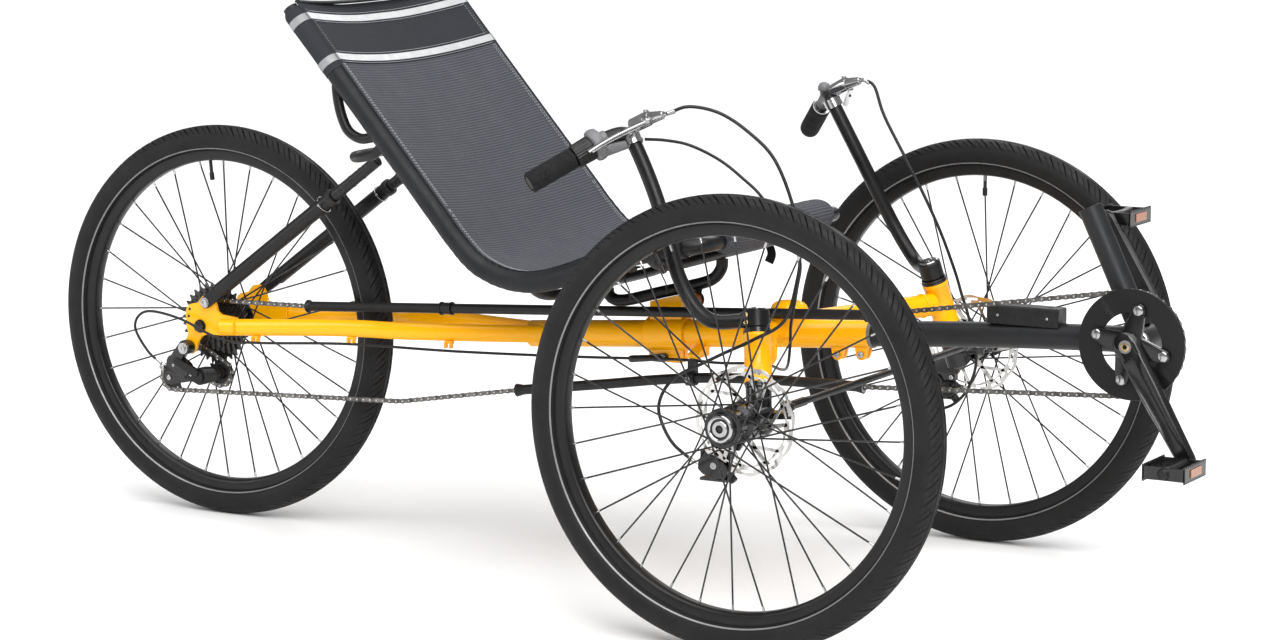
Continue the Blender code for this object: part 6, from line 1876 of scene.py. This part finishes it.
def seat_mount():
    start = MAIN_REAR + MAIN_AXIS * 0.218
    clamp = Shape().lathe([(0, 0.0222), (0, 0.0262), (0.0008, 0.0270), (0.0692, 0.0270), (0.0700, 0.0262),
                           (0.0700, 0.0222)],
                          start, MAIN_AXIS, 64)
    clamp.hull(block((0.824, -0.013, 0.3900), (0.880, 0.013, 0.4238)) + block((0.880, -0.013, 0.4300),
                                                                              (0.8795, 0.013, 0.4382)))
    for y in (-0.0120, 0.0020):
        clamp.hull(block((0.822, y, 0.3300), (0.878, y + 0.0100, 0.3600)))
    clamp.make("seat_clamp_casting", "yellow_gloss", "seat", "seat_clamp", bevel=0.0014, angle=35)
    pivot = Vector((0.850, -0.0125, 0.3375))
    arm = Shape().hull(disc(pivot, 0.0072, -0.0068) + disc(pivot + Vector((-0.020, -0.0005, -0.002)),
                                                           0.0052, -0.0060))
    arm.hull(disc(pivot + Vector((-0.018, -0.0008, -0.002)), 0.0050,
                  -0.0050) + disc(pivot + Vector((-0.055, -0.004, -0.006)), 0.0056, -0.0046))
    arm.make("quick_release_handle", "black_gloss", "seat_quick_release", "seat_quick_release", pivot,
             bevel=0.0010, angle=32)
    nut = Shape().rod(pivot + Vector((0, 0.0245, 0)), pivot + Vector((0, 0.0315, 0)), 0.0075, 32, 0.0012)
    nut.rod(pivot - Vector((0, 0.0072, 0)), pivot - Vector((0, 0.0064, 0)), 0.0045, 32, 0.0003)
    nut.rod(pivot, pivot + Vector((0, 0.0300, 0)), 0.0026, 20)
    nut.make("quick_release_skewer", "alloy_polished", "seat", angle=32)
    knob_at = Vector((0.9060, 0, 0.4330))
    knob = Shape().rod(knob_at + ACROSS * -0.0230, knob_at + ACROSS * -0.0110, 0.0115, 40, 0.0020)
    knob.make("support_knob", "amber_reflector", "seat", angle=32)
    ring = Shape().lathe([(0.0100, 0.0030), (0.0100, 0.0135), (0.0140, 0.0135), (0.0140, 0.0030)],
                         knob_at, (0, -1, 0), 40)
    ring.rod(knob_at - ACROSS * 0.0105, knob_at + Vector((0, 0.002, 0.0230)), 0.0050, 24)
    ring.make("support_knob_ring", "plastic_black", "seat", bevel=0.0006, angle=32)


def struts():
    for prefix, side in SIDES:
        foot, head = mirrored(STRUT_FOOT, side), mirrored(STRUT_HEAD, side)
        along = (head - foot).normalized()
        lower, upper = f"{prefix}_strut_lower", f"{prefix}_strut_upper"
        outer = Shape()
        outer_profile = [(0.0400, 0.0100), (0.0400, 0.0118), (0.0408, 0.0125),
                         (STRUT_OUTER_LENGTH - 0.0008, 0.0125)]
        outer_profile += [(STRUT_OUTER_LENGTH, 0.0118), (STRUT_OUTER_LENGTH, 0.0100)]
        outer.lathe(outer_profile, foot, along, 48)
        eye = Vector((foot.x, 0.0743 * side, foot.z))
        outer.hull(disc(eye, 0.0098, 0.0080 * side) + disc(eye + along * 0.046, 0.0110, 0.0080 * side))
        outer.make(f"{prefix}_strut_tube", "black_powder", lower, f"{prefix}_strut_outer", foot,
                   bevel=0.0010, angle=35)
        inner = Shape()
        inner.lathe([(0.160, 0.0001), (0.160, 0.0095), ((head - foot).length - 0.0015, 0.0095),
                     ((head - foot).length, 0.0080),
                     ((head - foot).length, 0.0001)], foot, along, 48)
        inner.make(f"{prefix}_strut_rod", "black_powder", upper, f"{prefix}_strut_inner", foot, angle=35)
        # The adjustment holes are thin black discs on the inner tube: painted shade in the holes.
        holes = Shape()
        sideways = ACROSS.cross(along).normalized()
        for k in range(3):
            at = foot + along * (STRUT_OUTER_LENGTH + 0.020 + 0.024 * k)
            for way in (1, -1):
                holes.rod(at + sideways * 0.0088 * way, at + sideways * 0.0098 * way, 0.0026, 20, 0.0002)
                holes.rod(at + ACROSS * 0.0088 * way, at + ACROSS * 0.0098 * way, 0.0026, 20, 0.0002)
        holes.make(f"{prefix}_strut_hole_shade", "plastic_black", upper, (), foot)
        collar_at = foot + along * (STRUT_OUTER_LENGTH - 0.0110)
        collar = Shape().lathe([(0, 0.0124), (0, 0.0134), (0.0008, 0.0139), (0.0102, 0.0139),
                                (0.0110, 0.0134), (0.0110, 0.0100)],
                               collar_at, along, 48)
        collar.make(f"{prefix}_strut_collar", "plastic_black", lower, (), foot, angle=35)
        pin_at = collar_at - along * 0.014
        clip = Shape()
        wire = [pin_at + ACROSS * 0.0175 * side, pin_at + ACROSS * 0.0145 * side + sideways * 0.004]
        for k in range(9):
            angle = math.radians(40 + 35 * k)
            wire.append(pin_at + (ACROSS * side * math.cos(angle) + sideways * math.sin(angle)) * 0.0142)
        clip.tube(wire, 0.0008, 0.003, 12)
        clip.rod(pin_at - ACROSS * 0.0145 * side, pin_at + ACROSS * 0.0175 * side, 0.0020, 20, 0.0005)
        clip.make(f"{prefix}_strut_clip_pin", "alloy_polished", lower, (), foot, angle=50)


# Studio ------------------------------------------------------------------------------------------


def remaining_cad():
    """The crank axle keeps its CAD shape, and gets a material here."""
    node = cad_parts["crank_axle"]
    node.data.materials.clear()
    node.data.materials.append(FINISHES["steel_bright"].material)


def studio():
    mesh = bpy.data.meshes.new("studio_floor")
    reach = 60.0
    mesh.from_pydata([(-reach, -reach, 0), (reach, -reach, 0), (reach, reach, 0), (-reach, reach, 0)], [],
                     [(0, 1, 2, 3)])
    mesh.materials.append(FINISHES["studio_floor"].material)
    floor = bpy.data.objects.new("studio_floor", mesh)
    bpy.context.scene.collection.objects.link(floor)
    world = bpy.data.worlds.new("studio")
    world.use_nodes = True
    world.node_tree.nodes["Background"].inputs["Color"].default_value = (1, 1, 1, 1)
    world.node_tree.nodes["Background"].inputs["Strength"].default_value = WORLD_STRENGTH
    bpy.context.scene.world = world
    bpy.context.scene.view_settings.view_transform = "Standard"
    sky = bpy.data.lights.new("overhead", "SUN")
    sky.energy = SUN_STRENGTH
    sky.angle = SUN_WIDTH
    above = bpy.data.objects.new("overhead", sky)
    above.rotation_euler = (-Vector((0.25, -0.35, 1.0))).to_track_quat("-Z", "Y").to_euler()
    bpy.context.scene.collection.objects.link(above)
    lamps = (("key", (3.4, -3.2, 2.6), 2.0, 90), ("fill", (-3.0, -3.2, 2.0), 2.0, 50),
             ("back", (0.2, 3.8, 3.0), 2.6, 60))
    for name, place, size, power in lamps:
        light = bpy.data.lights.new(name, "AREA")
        light.size = size
        light.energy = power
        lamp = bpy.data.objects.new(name, light)
        lamp.location = place
        lamp.rotation_euler = (LAMP_TARGET - Vector(place)).to_track_quat("-Z", "Y").to_euler()
        bpy.context.scene.collection.objects.link(lamp)


def camera():
    lens = bpy.data.cameras.new("camera")
    lens.lens = CAMERA_LENS
    lens.sensor_width = 36
    level = math.cos(CAMERA_ELEVATION)
    back = Vector((math.sin(CAMERA_AZIMUTH) * level, -math.cos(CAMERA_AZIMUTH) * level,
                   math.sin(CAMERA_ELEVATION)))
    view = bpy.data.objects.new("camera", lens)
    view.location = CAMERA_PLACE
    view.rotation_euler = (-back).to_track_quat("-Z", "Y").to_euler()
    lens.clip_end = 200
    bpy.context.scene.collection.objects.link(view)
    bpy.context.scene.camera = view


front_wheels()
rear_wheel()
cassette()
yellow_frame()
head_sets()
boom()
cranks()
chainwheel()
roller_chain()
chain_tubes()
derailleur()
front_corners()
tie_rod()
bars()
cables()
seat_tubes()
seat_cloth()
seat_front()
seat_mount()
struts()
remaining_cad()
studio()
camera()
